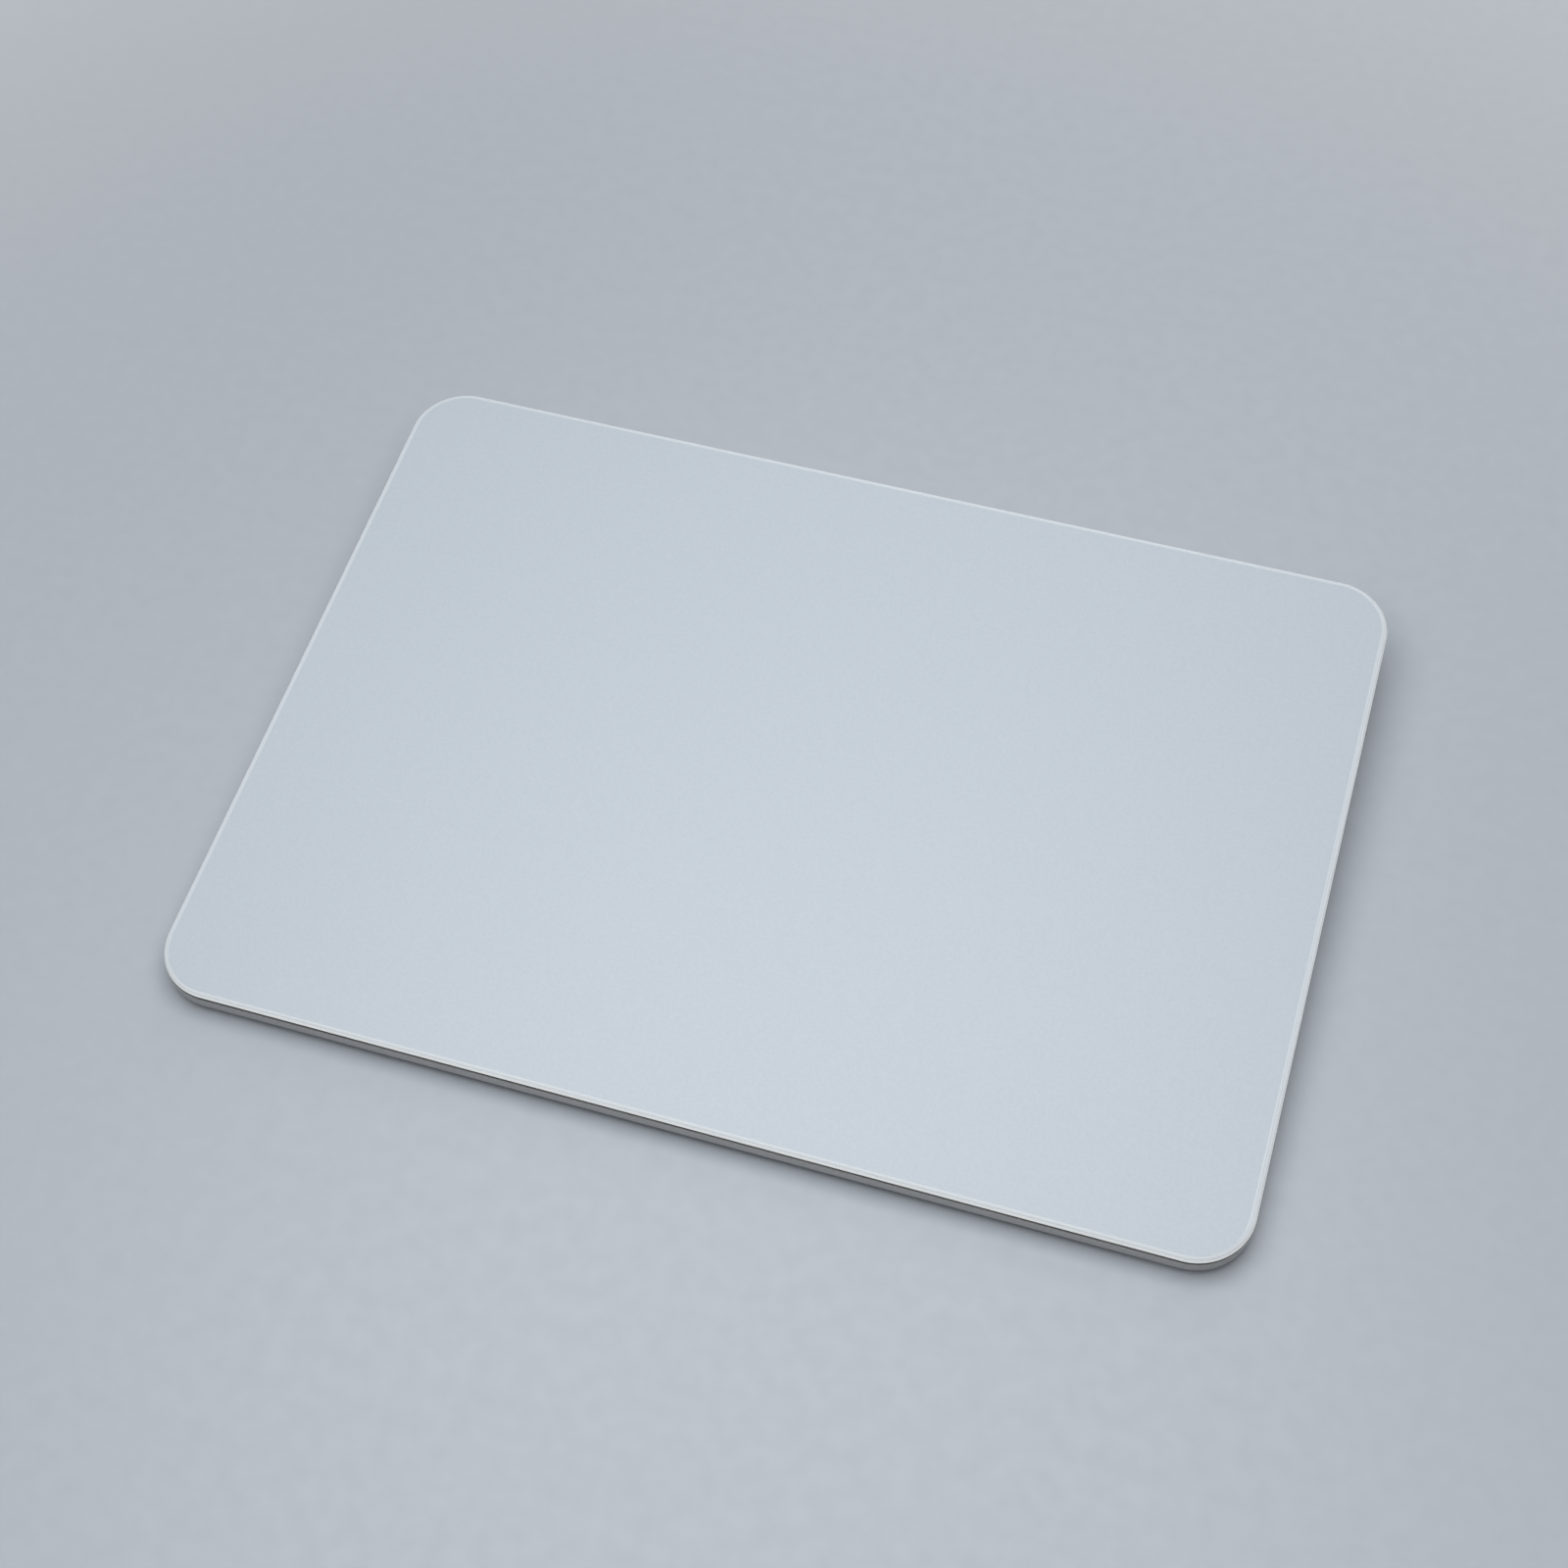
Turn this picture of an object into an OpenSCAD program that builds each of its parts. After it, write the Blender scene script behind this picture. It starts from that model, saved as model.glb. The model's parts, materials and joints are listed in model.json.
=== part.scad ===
// Wedge-shaped desk trackpad: a sprung, force-sensing glass plate over an aluminium frame.
// The origin lies on the desk under the middle of the pad: X right, Y to the back, Z up.
// All sizes are in millimetres.

/* [Overall size] */
// Width of the pad, side to side
pad_w = 160; // [140:1:185]
// Depth of the pad along the desk, front to back
pad_d = 114.9; // [100:0.1:130]
// Height of the glass over the desk at the front edge
front_h = 4.9; // [4.6:0.1:6.5]
// Height of the glass over the desk at the back edge
back_h = 10.9; // [10:0.1:14]
// Radius of the four corners, seen from above
corner_r = 8.5; // [6:0.5:14]

/* [Touch plate] */
// Thickness of the glass
glass_t = 1.1; // [0.8:0.1:1.4]
// Radius of the round along the upper edge of the glass
glass_edge_r = 0.8; // [0.2:0.05:1]
// Thickness of the adhesive film under the glass
film_t = 0.1; // [0.05:0.05:0.2]
// Thickness of the touch sensor board
sensor_t = 0.4; // [0.3:0.1:0.7]
// Thickness of the steel stiffener plate
stiffener_t = 0.5; // [0.3:0.1:0.8]
// Gap between the edge of the stiffener and the case wall
module_gap = 0.5; // [0.4:0.1:1]
// Open seam between the glass and the top of the case wall
seam_gap = 0.4; // [0.25:0.05:0.6]
// Travel of the plate when it is pressed hard
press_travel = 0.15; // [0.05:0.05:0.2]
// Room left under the plate at the end of that travel
press_clear = 0.1; // [0.05:0.05:0.2]
// Side of a square touch controller chip
controller_w = 7; // [5:0.5:9]
// Height of a touch controller chip
controller_h = 0.8; // [0.5:0.1:1]
// Distance of each touch controller from the middle line
controller_x = 26; // [15:1:40]

/* [Case] */
// Thickness of the case wall
wall_t = 1.8; // [1.4:0.1:2.4]
// Radius of the round along the lower edge of the wall
wall_edge_r = 1.6; // [0.3:0.1:2]
// Width of the ledge that the bottom cover is bonded to
ledge_w = 3; // [2:0.5:4]
// Thickness of that ledge
ledge_t = 0.7; // [0.5:0.1:1]
// Thickness of the bottom cover
cover_t = 0.7; // [0.5:0.1:0.9]
// Gap round the bottom cover
cover_gap = 0.15; // [0.1:0.05:0.4]
// Thickness of the cover gasket and of the battery tape
adhesive_t = 0.15; // [0.1:0.05:0.25]

/* [Feet] */
// Diameter of a rubber foot
foot_d = 9.6; // [7:0.2:14]
// Height that a foot stands proud of the bottom cover
foot_proud = 0.45; // [0.35:0.05:1]
// Depth of the pocket that holds a foot
foot_pocket = 0.3; // [0.2:0.05:0.4]
// Distance of a foot's middle from the sides of the pad
foot_inset = 15.5; // [12:0.5:25]

/* [Flexures] */
// Length of a corner flexure, along the width of the pad
flexure_l = 22; // [20:1:26]
// Width of a corner flexure
flexure_w = 12; // [11:0.5:14]
// Thickness of a corner flexure
flexure_t = 0.35; // [0.25:0.05:0.45]
// Distance of a flexure's middle from the left or right side of the pad
flexure_inset_x = 18; // [16:0.5:24]
// Distance of a flexure's middle from the front or back of the pad
flexure_inset_y = 15.5; // [14:0.5:22]
// Width of the sprung tongue
tongue_w = 6; // [5.6:0.2:6.4]
// Width of the slot round the tongue
tongue_slot = 0.8; // [0.4:0.1:1]
// Diameter of the soft isolator on the tongue
isolator_d = 5; // [3.5:0.5:5.5]
// Thickness of the corner shelf that carries a flexure
corner_shelf_t = 0.6; // [0.5:0.1:0.7]

/* [Haptic actuator] */
// Place of the actuator's middle, from the middle of the pad towards the back
actuator_y = -10; // [-14:0.5:-4]
// Width of the attraction bar under the stiffener
bar_w = 2.4; // [1.6:0.2:4]
// Air gap between the bar and each core
core_gap = 0.3; // [0.2:0.05:0.5]
// Length of a core's legs
core_leg_l = 6; // [4.5:0.5:8]
// Width of a core's middle leg
core_mid_w = 5; // [3:0.5:6]
// Width of a core's outer legs
core_end_w = 2.5; // [2:0.5:4]
// Width of the slots between a core's legs
core_slot_w = 4; // [3:0.5:5]
// Width of a core's yoke
core_yoke_w = 2; // [1.5:0.5:3]
// Height of a core
core_h = 1.2; // [0.8:0.1:1.3]
// Thickness of the winding over and under the middle leg
winding_t = 0.4; // [0.3:0.05:0.45]
// Thickness of the actuator bracket
bracket_t = 0.4; // [0.3:0.05:0.5]
// Width of the two cross ribs that carry the bracket
rib_w = 2.4; // [2:0.2:4]

/* [Battery] */
// Open channel between the two cells
cell_channel = 14; // [13:0.5:20]
// Gap between a cell and the ledge beside it
cell_side_gap = 6.2; // [1:0.2:12]
// Gap in front of and behind the cells
cell_end_gap = 3; // [2:0.5:6]
// Room left over the cells so that they can swell
swell_gap = 0.75; // [0.5:0.05:1.2]
// Radius along the upper edges of a cell
cell_edge_r = 0.8; // [0.3:0.1:1.2]

/* [Logic board] */
// Length of the logic board, along the back wall
board_l = 99; // [94:1:106]
// Width of the logic board
board_w = 13.8; // [13.4:0.2:16]
// Thickness of the logic board
board_t = 0.8; // [0.6:0.1:1]
// Distance of the board's left end from the middle line
board_left = 44; // [42:1:48]
// Gap between the board and the back wall
board_gap = 0.55; // [0.3:0.05:0.8]
// Height of the bosses under the board
boss_h = 0.4; // [0.3:0.1:0.6]
// Height of the shield cans
shield_h = 1.6; // [1:0.1:2]
// Thickness of a flat lead
lead_t = 0.15; // [0.1:0.05:0.2]

/* [Charging socket] */
// Width of the socket's steel shell
shell_w = 8.94; // [8.5:0.02:9.5]
// Height of the socket's steel shell
shell_h = 3.26; // [3.1:0.02:3.5]
// Wall of the socket's shell
shell_t = 0.3; // [0.2:0.05:0.4]
// Length of the socket's shell
shell_l = 7.35; // [6.5:0.05:8]
// Depth of the socket's mouth inside the back of the case
shell_recess = 0.2; // [0:0.05:0.5]
// Gap between the shell and the opening in the wall
shell_clear = 0.18; // [0.1:0.02:0.3]
// Width of the chamfer round the openings for the socket and the switch
mouth_chamfer = 0.25; // [0.1:0.05:0.4]

/* [Power switch] */
// Place of the switch, from the middle line to the right
switch_x = 48; // [46:0.5:49]
// Length of the switch knob
knob_l = 7; // [5:0.5:9]
// Height of the switch knob
knob_h = 2.1; // [1.6:0.1:2.3]
// Travel of the switch knob
knob_travel = 2; // [1.5:0.1:2.5]
// Gap between the knob and its slot
knob_clear = 0.15; // [0.1:0.05:0.25]
// Radius of the round along the outer edge of the knob
knob_edge_r = 0.3; // [0.1:0.05:0.5]

/* [Screws] */
// Diameter of the screws' shanks
screw_d = 1.2; // [1:0.1:1.4]
// Diameter of the screws' heads
screw_head_d = 2.4; // [2:0.1:2.8]
// Height of the screws' heads
screw_head_h = 0.45; // [0.3:0.05:0.5]

/* [Hidden] */
$fn = 96;

LEFT = -1;
RIGHT = 1;
FRONT = -1;
REAR = 1;

// Slope of the glass
tilt = atan((back_h - front_h) / pad_d);
mid_h = (front_h + back_h) / 2;
slope_d = pad_d / cos(tilt);

// Depths under the glass surface, square to it
sensor_depth = glass_t + film_t;
stiffener_depth = sensor_depth + sensor_t;
module_depth = stiffener_depth + stiffener_t;
rim_depth = glass_t + seam_gap;
free_depth = module_depth + press_travel + press_clear;
flexure_depth = free_depth + corner_shelf_t;
flexure_low_depth = flexure_depth + flexure_t;
core_depth = free_depth + winding_t;
bracket_depth = core_depth + core_h;
rib_depth = bracket_depth + bracket_t;

// Heights over the desk
cover_top = foot_proud + cover_t;
ledge_low = cover_top + adhesive_t;
ledge_top = ledge_low + ledge_t;
board_low = ledge_top + boss_h;
board_top = board_low + board_t;

// Rounds, limited by the glass or wall that they are cut in
glass_land = 0.2;
glass_round = min(glass_edge_r, glass_t - glass_land);
wall_land = 0.2;
wall_round = min(wall_edge_r, wall_t - wall_land);

// Plan of the case
cavity_w = pad_w - 2 * wall_t;
cavity_d = pad_d - 2 * wall_t;
cavity_r = corner_r - wall_t;
wall_bite = wall_t / 2;
ledge_inner_r = max(cavity_r - ledge_w, 1);
module_inset = wall_t + module_gap;
foot_x = pad_w / 2 - foot_inset;
foot_y = pad_d / 2 - foot_inset;
foot_edge_r = 0.25;
foot_clear = 0.1;

// Corner flexures: the front pair moves back where the wedge is too low for its screws
screw_clear = 0.1;
screw_hole_d = screw_d + screw_clear;
head_room = 0.2;
drive_floor_share = 0.45;
flexure_margin = 1;
flexure_screw_inset = 1.9;
flexure_screw_u = flexure_l / 2 - flexure_screw_inset;
flexure_screw_v = flexure_w / 2 - flexure_screw_inset;
flexure_x = pad_w / 2 - flexure_inset_x;
flexure_rear_y = slope_d / 2 - flexure_inset_y;
head_low_depth = flexure_low_depth + screw_head_h;
head_limit_y = (cover_top + head_room + head_low_depth / cos(tilt) - mid_h) / tan(tilt);
flexure_front_y = max(-flexure_rear_y, head_limit_y + flexure_screw_v + screw_head_d / 2);
tongue_root_gap = 4;
tongue_end_gap = 4.5;
isolator_end_gap = 0.3;
tongue_root_u = tongue_root_gap - flexure_l / 2;
tongue_end_u = flexure_l / 2 - tongue_end_gap;
isolator_u = tongue_end_u - tongue_slot - isolator_end_gap - isolator_d / 2;
isolator_clear = 0.8;
gauge_l = 3.5;
gauge_w = 3;
gauge_t = 0.1;

// Haptic actuator
core_face_x = bar_w / 2 + core_gap;
core_back_x = core_face_x + core_leg_l + core_yoke_w;
core_half_l = core_mid_w / 2 + core_slot_w + core_end_w;
core_seat = 0.3;
coil_gap = 0.4;
coil_fit = 0.05;
bracket_corner_r = 2;
bar_tab_t = 0.2;
bar_tab_l = 3.5;
bar_tab_w = 8;
bar_overhang = 0.5;
bar_half_l = core_half_l + bar_overhang;
rib_gap = 2.5;
rib_y = core_half_l + rib_gap;
bracket_margin = 2.5;
bracket_w = 2 * (core_back_x + bracket_margin);
bracket_half_l = rib_y + rib_w / 2;
bracket_screw_x = core_back_x;
bracket_screw_bite = 0.4;
rib_boss_d = 4;

// Logic board, along the back wall
board_back_y = pad_d / 2 - wall_t - board_gap;
board_front_y = board_back_y - board_w;
board_mid_x = board_l / 2 - board_left;
board_corner_r = 1;
board_boss_d = 4;
board_screw_bite = 0.6;
board_screw_left = 4;
board_screw_to_switch = 9;
board_screw_front = 2.7;
board_screw_back = 3.6;
board_screw_x = 10.5;
part_gap = 0.7;
can_t = 0.2;
can_corner_r = 0.8;
main_shield_x = 25;
main_shield_w = 20;
radio_shield_w = 16;
charger_w = 5;
charger_d = 4;
charger_h = 1;
choke_w = 3;
choke_h = 1.4;
clock_w = 4;
clock_d = 2;
clock_h = 0.8;
clock_y = 5.6;
plug_h = 1;
plug_d = 2.4;
plug_rim = 0.6;
antenna_w = 8;
antenna_d = 4;
antenna_h = 2;
board_screws_xy = [
    [board_screw_left - board_left, board_front_y + board_screw_front],
    [-board_screw_x, board_back_y - board_screw_back],
    [board_screw_x, board_back_y - board_screw_back],
    [switch_x - board_screw_to_switch, board_front_y + board_screw_front]
];

// Charging socket and power switch
shell_back_y = pad_d / 2 - shell_recess - shell_l;
shell_mid_z = board_top + shell_h / 2;
mouth_w = shell_w + 2 * shell_clear;
mouth_h = shell_h + 2 * shell_clear;
tongue_base_l = 1.6;
tongue_plate_w = 6.69;
tongue_plate_t = 0.7;
tongue_recess = 1;
tongue_plate_l = shell_l - tongue_base_l - tongue_recess;
tongue_nose_l = 0.4;
tongue_nose_t = 0.4;
tongue_fit = 0.04;
switch_z = shell_mid_z;
slot_l = knob_l + knob_travel + 2 * knob_clear;
slot_h = knob_h + 2 * knob_clear;
knob_x = switch_x - knob_travel / 2;
knob_recess = 0.1;
flange_gap = 0.25;
flange_t = 0.8;
flange_overlap = 0.3;
flange_spare = 1;
flange_corner_r = 0.5;
flange_l = slot_l + knob_travel + 2 * (flange_overlap + flange_spare);
flange_h = slot_h + 2 * flange_overlap;
flange_back_y = pad_d / 2 - wall_t - flange_gap;
lug_w = 1.6;
lug_l = 1.2;
lug_clear = 0.2;
film_gap = 0.15;
switch_body_back_y = flange_back_y - flange_t - lug_clear;
switch_body_d = 3.4;
switch_body_l = 10;
switch_body_h = 2 * (switch_z - board_top);

// Battery, between the rear cross rib and the logic board
cell_front_y = actuator_y + bracket_half_l + cell_end_gap;
cell_back_y = board_front_y - cell_end_gap;
cell_d = cell_back_y - cell_front_y;
cell_inner_x = cell_channel / 2;
cell_w = cavity_w / 2 - ledge_w - cell_side_gap - cell_inner_x;
cell_mid_y = (cell_front_y + cell_back_y) / 2;
cell_low = cover_top + adhesive_t;
cell_top = layer_z(cell_front_y, module_depth) - swell_gap;
cell_corner_r = 2;
guard_w = 6;
guard_x = -2.4;
guard_t = 0.6;
guard_end_gap = 2;
guard_l = cell_d - 2 * guard_end_gap;
guard_tape_inset = 0.5;
cell_tape_inset = 6;
guard_top = cell_low + guard_t;
tab_w = 3;
tab_t = 0.15;
tab_lap = 1.5;
battery_lead_w = 5;

// Leads and the ribbon from the sensor board
lead_lap = 3.5;
lead_start = 1;
lead_bend = 0.8;
lead_w = 3;
lead_x = 3.6;
ribbon_t = 0.12;
ribbon_w = 24;
ribbon_x = -21;
ribbon_back = 4.8;
ribbon_y = board_front_y + ribbon_back;
ribbon_lap = 5;
ribbon_fold = 2;
ribbon_conn_w = 26;
ribbon_conn_d = 3.2;
ribbon_conn_h = 1.5;
ribbon_slot = 0.7;
ribbon_slot_floor = 0.3;
ribbon_slot_shift = 0.6;
ribbon_slot_y = ribbon_y + ribbon_slot_shift;
ribbon_window_end = 0.6;
ribbon_window_side = 1;
fold_top_share = 0.65;
fold_low_share = 0.5;
fold_entry_share = 0.2;

// Height of the glass over a plan point, and of a layer at some depth under it
function surface_z(y) = mid_h + y * tan(tilt);
function layer_z(y, depth) = surface_z(y) - depth / cos(tilt);

// Outline of a thin strip of thickness t along a path of [y, z] points
function unit(v) = v / norm(v);
function step_dir(path, i) = unit(path[i + 1] - path[i]);
function corner_dir(path, i) =
    i == 0 ? step_dir(path, 0)
    : i == len(path) - 1 ? step_dir(path, i - 1)
    : unit(step_dir(path, i - 1) + step_dir(path, i));
function mitre(path, i) =
    i == 0 || i == len(path) - 1 ? 1 : 1 / (corner_dir(path, i) * step_dir(path, i));
function side_point(path, i, offset) =
    path[i] + offset * mitre(path, i) * [-corner_dir(path, i)[1], corner_dir(path, i)[0]];
function strip_outline(path, t) = concat(
    [for (i = [0 : len(path) - 1]) side_point(path, i, t / 2)],
    [for (i = [len(path) - 1 : -1 : 0]) side_point(path, i, -t / 2)]
);

// Shared shapes

module on_slope(depth = 0) {
    translate([0, 0, mid_h]) rotate([tilt, 0, 0]) translate([0, 0, -depth]) children();
}

module layer(depth, t) {
    on_slope(depth + t) linear_extrude(t) children();
}

module rounded_rect(w, d, r) {
    square([w - 2 * r, d], center = true);
    square([w, d - 2 * r], center = true);
    for (sx = [-1, 1], sy = [-1, 1])
        translate([sx * (w / 2 - r), sy * (d / 2 - r)]) circle(r);
}

module stadium(w, h) {
    square([w - h, h], center = true);
    for (s = [-1, 1])
        translate([s * (w - h) / 2, 0]) circle(d = h);
}

module round_edge_profile(reach, h, e) {
    square([reach - e, h]);
    square([reach, h - e]);
    intersection() {
        translate([reach - e, h - e]) circle(e);
        square([reach, h]);
    }
}

// Plate with rounded corners and a round along its upper edge
module soft_plate(w, d, r, h, e) {
    inner = [w - 2 * r, d - 2 * r];
    translate([-inner[0] / 2, -inner[1] / 2, 0]) cube([inner[0], inner[1], h]);
    for (quarter = [0 : 3]) {
        across = inner[quarter % 2];
        along = inner[(quarter + 1) % 2];
        rotate(90 * quarter) translate([across / 2, 0, 0]) {
            rotate([90, 0, 0]) linear_extrude(along, center = true) round_edge_profile(r, h, e);
            translate([0, along / 2, 0]) rotate_extrude(angle = 90) round_edge_profile(r, h, e);
        }
    }
}

// Stadium-shaped button with a round along its upper edge
module soft_stadium(w, d, h, e) {
    rotate([90, 0, 90]) linear_extrude(w - d, center = true)
        for (side = [0, 1]) mirror([side, 0]) round_edge_profile(d / 2, h, e);
    for (s = [-1, 1])
        translate([s * (w - d) / 2, 0, 0]) rotate_extrude() round_edge_profile(d / 2, h, e);
}

// Cutter for the chamfer round a stadium-shaped opening, whose face is at z = 0
module stadium_chamfer(w, h, c) {
    for (s = [-1, 1])
        translate([s * (w - h) / 2, 0, -c]) cylinder(r1 = h / 2 + 2 * c, r2 = h / 2, h = 2 * c);
    rotate([90, 0, 90]) linear_extrude(w - h, center = true)
        polygon([[-h / 2 - 2 * c, -c], [h / 2 + 2 * c, -c], [h / 2, c], [-h / 2, c]]);
}

module small_screw(shank) {
    difference() {
        union() {
            cylinder(d = screw_head_d, h = screw_head_h);
            translate([0, 0, -shank]) cylinder(d = screw_d, h = shank + screw_head_h / 2);
        }
        translate([0, 0, screw_head_h * drive_floor_share]) cylinder(d = screw_d, h = screw_head_h, $fn = 6);
    }
}

// Strip along a path of [y, z] points, w wide about x = 0
module flat_lead(path, t, w) {
    rotate([90, 0, 90]) linear_extrude(w, center = true) polygon(strip_outline(path, t));
}

module along_back_wall(x, z) {
    translate([x, pad_d / 2, z]) rotate([90, 0, 0]) children();
}

module flexure_place(sx, sy) {
    y = sy == FRONT ? flexure_front_y : flexure_rear_y;
    translate([sx * flexure_x, y]) mirror([sx == LEFT ? 1 : 0, 0]) children();
}

module flexure_screw_places() {
    for (u = [-1, 1], v = [-1, 1])
        translate([u * flexure_screw_u, v * flexure_screw_v]) children();
}

module bracket_screw_places() {
    for (sx = [LEFT, RIGHT], sy = [FRONT, REAR])
        translate([sx * bracket_screw_x, actuator_y + sy * rib_y]) children();
}

module board_screw_places() {
    for (place = board_screws_xy)
        translate(place) children();
}

// Touch plate

module module_outline() {
    rounded_rect(pad_w - 2 * module_inset, slope_d - 2 * module_inset, corner_r - module_inset);
}

module controller_places() {
    for (sx = [LEFT, RIGHT])
        translate([sx * controller_x, cell_mid_y]) children();
}

module touch_glass() {
    color("#d3dce2") on_slope(glass_t) soft_plate(pad_w, slope_d, corner_r, glass_t, glass_round);
}

module glass_film() {
    color("#e8e4da") layer(glass_t, film_t) module_outline();
}

module sensor_board() {
    color("#1f4d3a") layer(sensor_depth, sensor_t) module_outline();
}

module stiffener_plate() {
    window = controller_w + 2 * module_gap;
    ribbon_window_l = ribbon_lap + ribbon_fold + ribbon_window_end + ribbon_window_side;
    color("#a9abad") layer(stiffener_depth, stiffener_t) difference() {
        module_outline();
        controller_places() square(window, center = true);
        translate([ribbon_x, ribbon_y + ribbon_lap + ribbon_window_end - ribbon_window_l / 2])
            square([ribbon_w + 2 * ribbon_window_side, ribbon_window_l], center = true);
    }
}

module touch_controllers() {
    color("#2b2d30") layer(stiffener_depth, controller_h)
        controller_places() square(controller_w, center = true);
}

module attraction_bar() {
    web_h = bracket_depth - module_depth - press_clear;
    color("#7d7f82") {
        layer(module_depth, web_h) translate([0, actuator_y]) square([bar_w, 2 * bar_half_l], center = true);
        layer(module_depth, bar_tab_t) for (sy = [FRONT, REAR])
            translate([0, actuator_y + sy * (bar_half_l + bar_tab_l / 2)])
                square([bar_tab_w, bar_tab_l], center = true);
    }
}

module isolator_pads() {
    color("#3a3d42") for (sx = [LEFT, RIGHT], sy = [FRONT, REAR])
        layer(module_depth, flexure_depth - module_depth)
            flexure_place(sx, sy) translate([isolator_u, 0]) circle(d = isolator_d);
}

// Case

module case_prism(inset, low, high) {
    translate([0, 0, low]) linear_extrude(high - low)
        rounded_rect(pad_w - 2 * inset, pad_d - 2 * inset, corner_r - inset);
}

module under_rim() {
    reach = pad_w + pad_d;
    on_slope(rim_depth + reach) linear_extrude(reach) square(reach, center = true);
}

module case_wall() {
    difference() {
        intersection() {
            translate([0, 0, foot_proud + back_h]) mirror([0, 0, 1])
                soft_plate(pad_w, pad_d, corner_r, back_h, wall_round);
            under_rim();
        }
        case_prism(wall_t, 0, 2 * back_h);
    }
}

module case_ledge() {
    translate([0, 0, ledge_low]) linear_extrude(ledge_t) difference() {
        rounded_rect(cavity_w + wall_t, cavity_d + wall_t, cavity_r + wall_bite);
        rounded_rect(cavity_w - 2 * ledge_w, cavity_d - 2 * ledge_w, ledge_inner_r);
    }
}

// Shelf in one corner of the frame, under the touch plate
module corner_shelf(sx, sy) {
    y = sy == FRONT ? flexure_front_y : flexure_rear_y;
    inner_x = flexure_x - flexure_l / 2 - flexure_margin;
    inner_y = y - sy * (flexure_w / 2 + flexure_margin);
    outer_y = sy * slope_d / 2;
    intersection() {
        layer(free_depth, corner_shelf_t) difference() {
            translate([sx * (inner_x + pad_w / 2) / 2, (inner_y + outer_y) / 2])
                square([pad_w / 2 - inner_x, abs(outer_y - inner_y)], center = true);
            flexure_place(sx, sy) {
                translate([isolator_u, 0]) circle(d = isolator_d + 2 * isolator_clear);
                flexure_screw_places() circle(d = screw_hole_d);
            }
        }
        case_prism(wall_bite, ledge_low, 2 * back_h);
    }
}

// Two ribs across the frame, with the bosses that the actuator is screwed to
module cross_ribs() {
    intersection() {
        on_slope(rib_depth + back_h) difference() {
            linear_extrude(back_h) {
                for (sy = [FRONT, REAR])
                    translate([0, actuator_y + sy * rib_y]) square([pad_w, rib_w], center = true);
                bracket_screw_places() circle(d = rib_boss_d);
            }
            translate([0, 0, back_h - bracket_screw_bite]) linear_extrude(back_h)
                bracket_screw_places() circle(d = screw_hole_d);
        }
        case_prism(wall_bite, ledge_low, 2 * back_h);
    }
}

module board_shelf() {
    shelf_d = pad_d / 2 - wall_bite - board_front_y;
    translate([0, 0, ledge_low]) linear_extrude(ledge_t)
        translate([board_mid_x, board_front_y + shelf_d / 2]) square([board_l, shelf_d], center = true);
    translate([0, 0, ledge_low]) linear_extrude(board_low - ledge_low)
        board_screw_places() circle(d = board_boss_d);
}

// Cutter for a stadium-shaped opening through the back wall, with a chamfer round its mouth
module wall_opening(w, h) {
    translate([0, 0, -wall_t]) linear_extrude(3 * wall_t) stadium(w, h);
    stadium_chamfer(w, h, mouth_chamfer);
}

module case_frame() {
    color("#8d8884") difference() {
        union() {
            case_wall();
            case_ledge();
            for (sx = [LEFT, RIGHT], sy = [FRONT, REAR]) corner_shelf(sx, sy);
            cross_ribs();
            board_shelf();
        }
        along_back_wall(0, shell_mid_z) wall_opening(mouth_w, mouth_h);
        along_back_wall(switch_x, switch_z) wall_opening(slot_l, slot_h);
        translate([0, 0, board_low - board_screw_bite]) linear_extrude(board_low)
            board_screw_places() circle(d = screw_hole_d);
    }
}

module bottom_cover() {
    color("#c9cdd0") difference() {
        case_prism(wall_t + cover_gap, foot_proud, cover_top);
        for (sx = [LEFT, RIGHT], sy = [FRONT, REAR])
            translate([sx * foot_x, sy * foot_y, 0])
                cylinder(d = foot_d + 2 * foot_clear, h = foot_proud + foot_pocket);
    }
}

module cover_gasket() {
    edge = 2 * cover_gap;
    color("#26282b") translate([0, 0, cover_top]) linear_extrude(adhesive_t) difference() {
        rounded_rect(cavity_w - 2 * edge, cavity_d - 2 * edge, cavity_r - edge);
        rounded_rect(cavity_w - 2 * ledge_w + 2 * edge, cavity_d - 2 * ledge_w + 2 * edge, ledge_inner_r);
    }
}

module foot(sx, sy) {
    h = foot_proud + foot_pocket;
    color("#d9dbdc") translate([sx * foot_x, sy * foot_y, h]) mirror([0, 0, 1])
        rotate_extrude() round_edge_profile(foot_d / 2, h, foot_edge_r);
}

module foot_front_left() { foot(LEFT, FRONT); }
module foot_front_right() { foot(RIGHT, FRONT); }
module foot_rear_left() { foot(LEFT, REAR); }
module foot_rear_right() { foot(RIGHT, REAR); }

// Corner flexures

module flexure_outline() {
    slot_v = (tongue_w + tongue_slot) / 2;
    slot_u = (tongue_root_u + tongue_end_u) / 2;
    difference() {
        rounded_rect(flexure_l, flexure_w, flexure_screw_inset);
        for (v = [-1, 1])
            translate([slot_u, v * slot_v])
                square([tongue_end_u - tongue_root_u, tongue_slot], center = true);
        translate([tongue_end_u - tongue_slot / 2, 0])
            square([tongue_slot, tongue_w + tongue_slot], center = true);
        flexure_screw_places() circle(d = screw_hole_d);
    }
}

module flexure(sx, sy) {
    color("#b4b8bb") layer(flexure_depth, flexure_t) flexure_place(sx, sy) flexure_outline();
}

module flexure_front_left() { flexure(LEFT, FRONT); }
module flexure_front_right() { flexure(RIGHT, FRONT); }
module flexure_rear_left() { flexure(LEFT, REAR); }
module flexure_rear_right() { flexure(RIGHT, REAR); }

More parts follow.
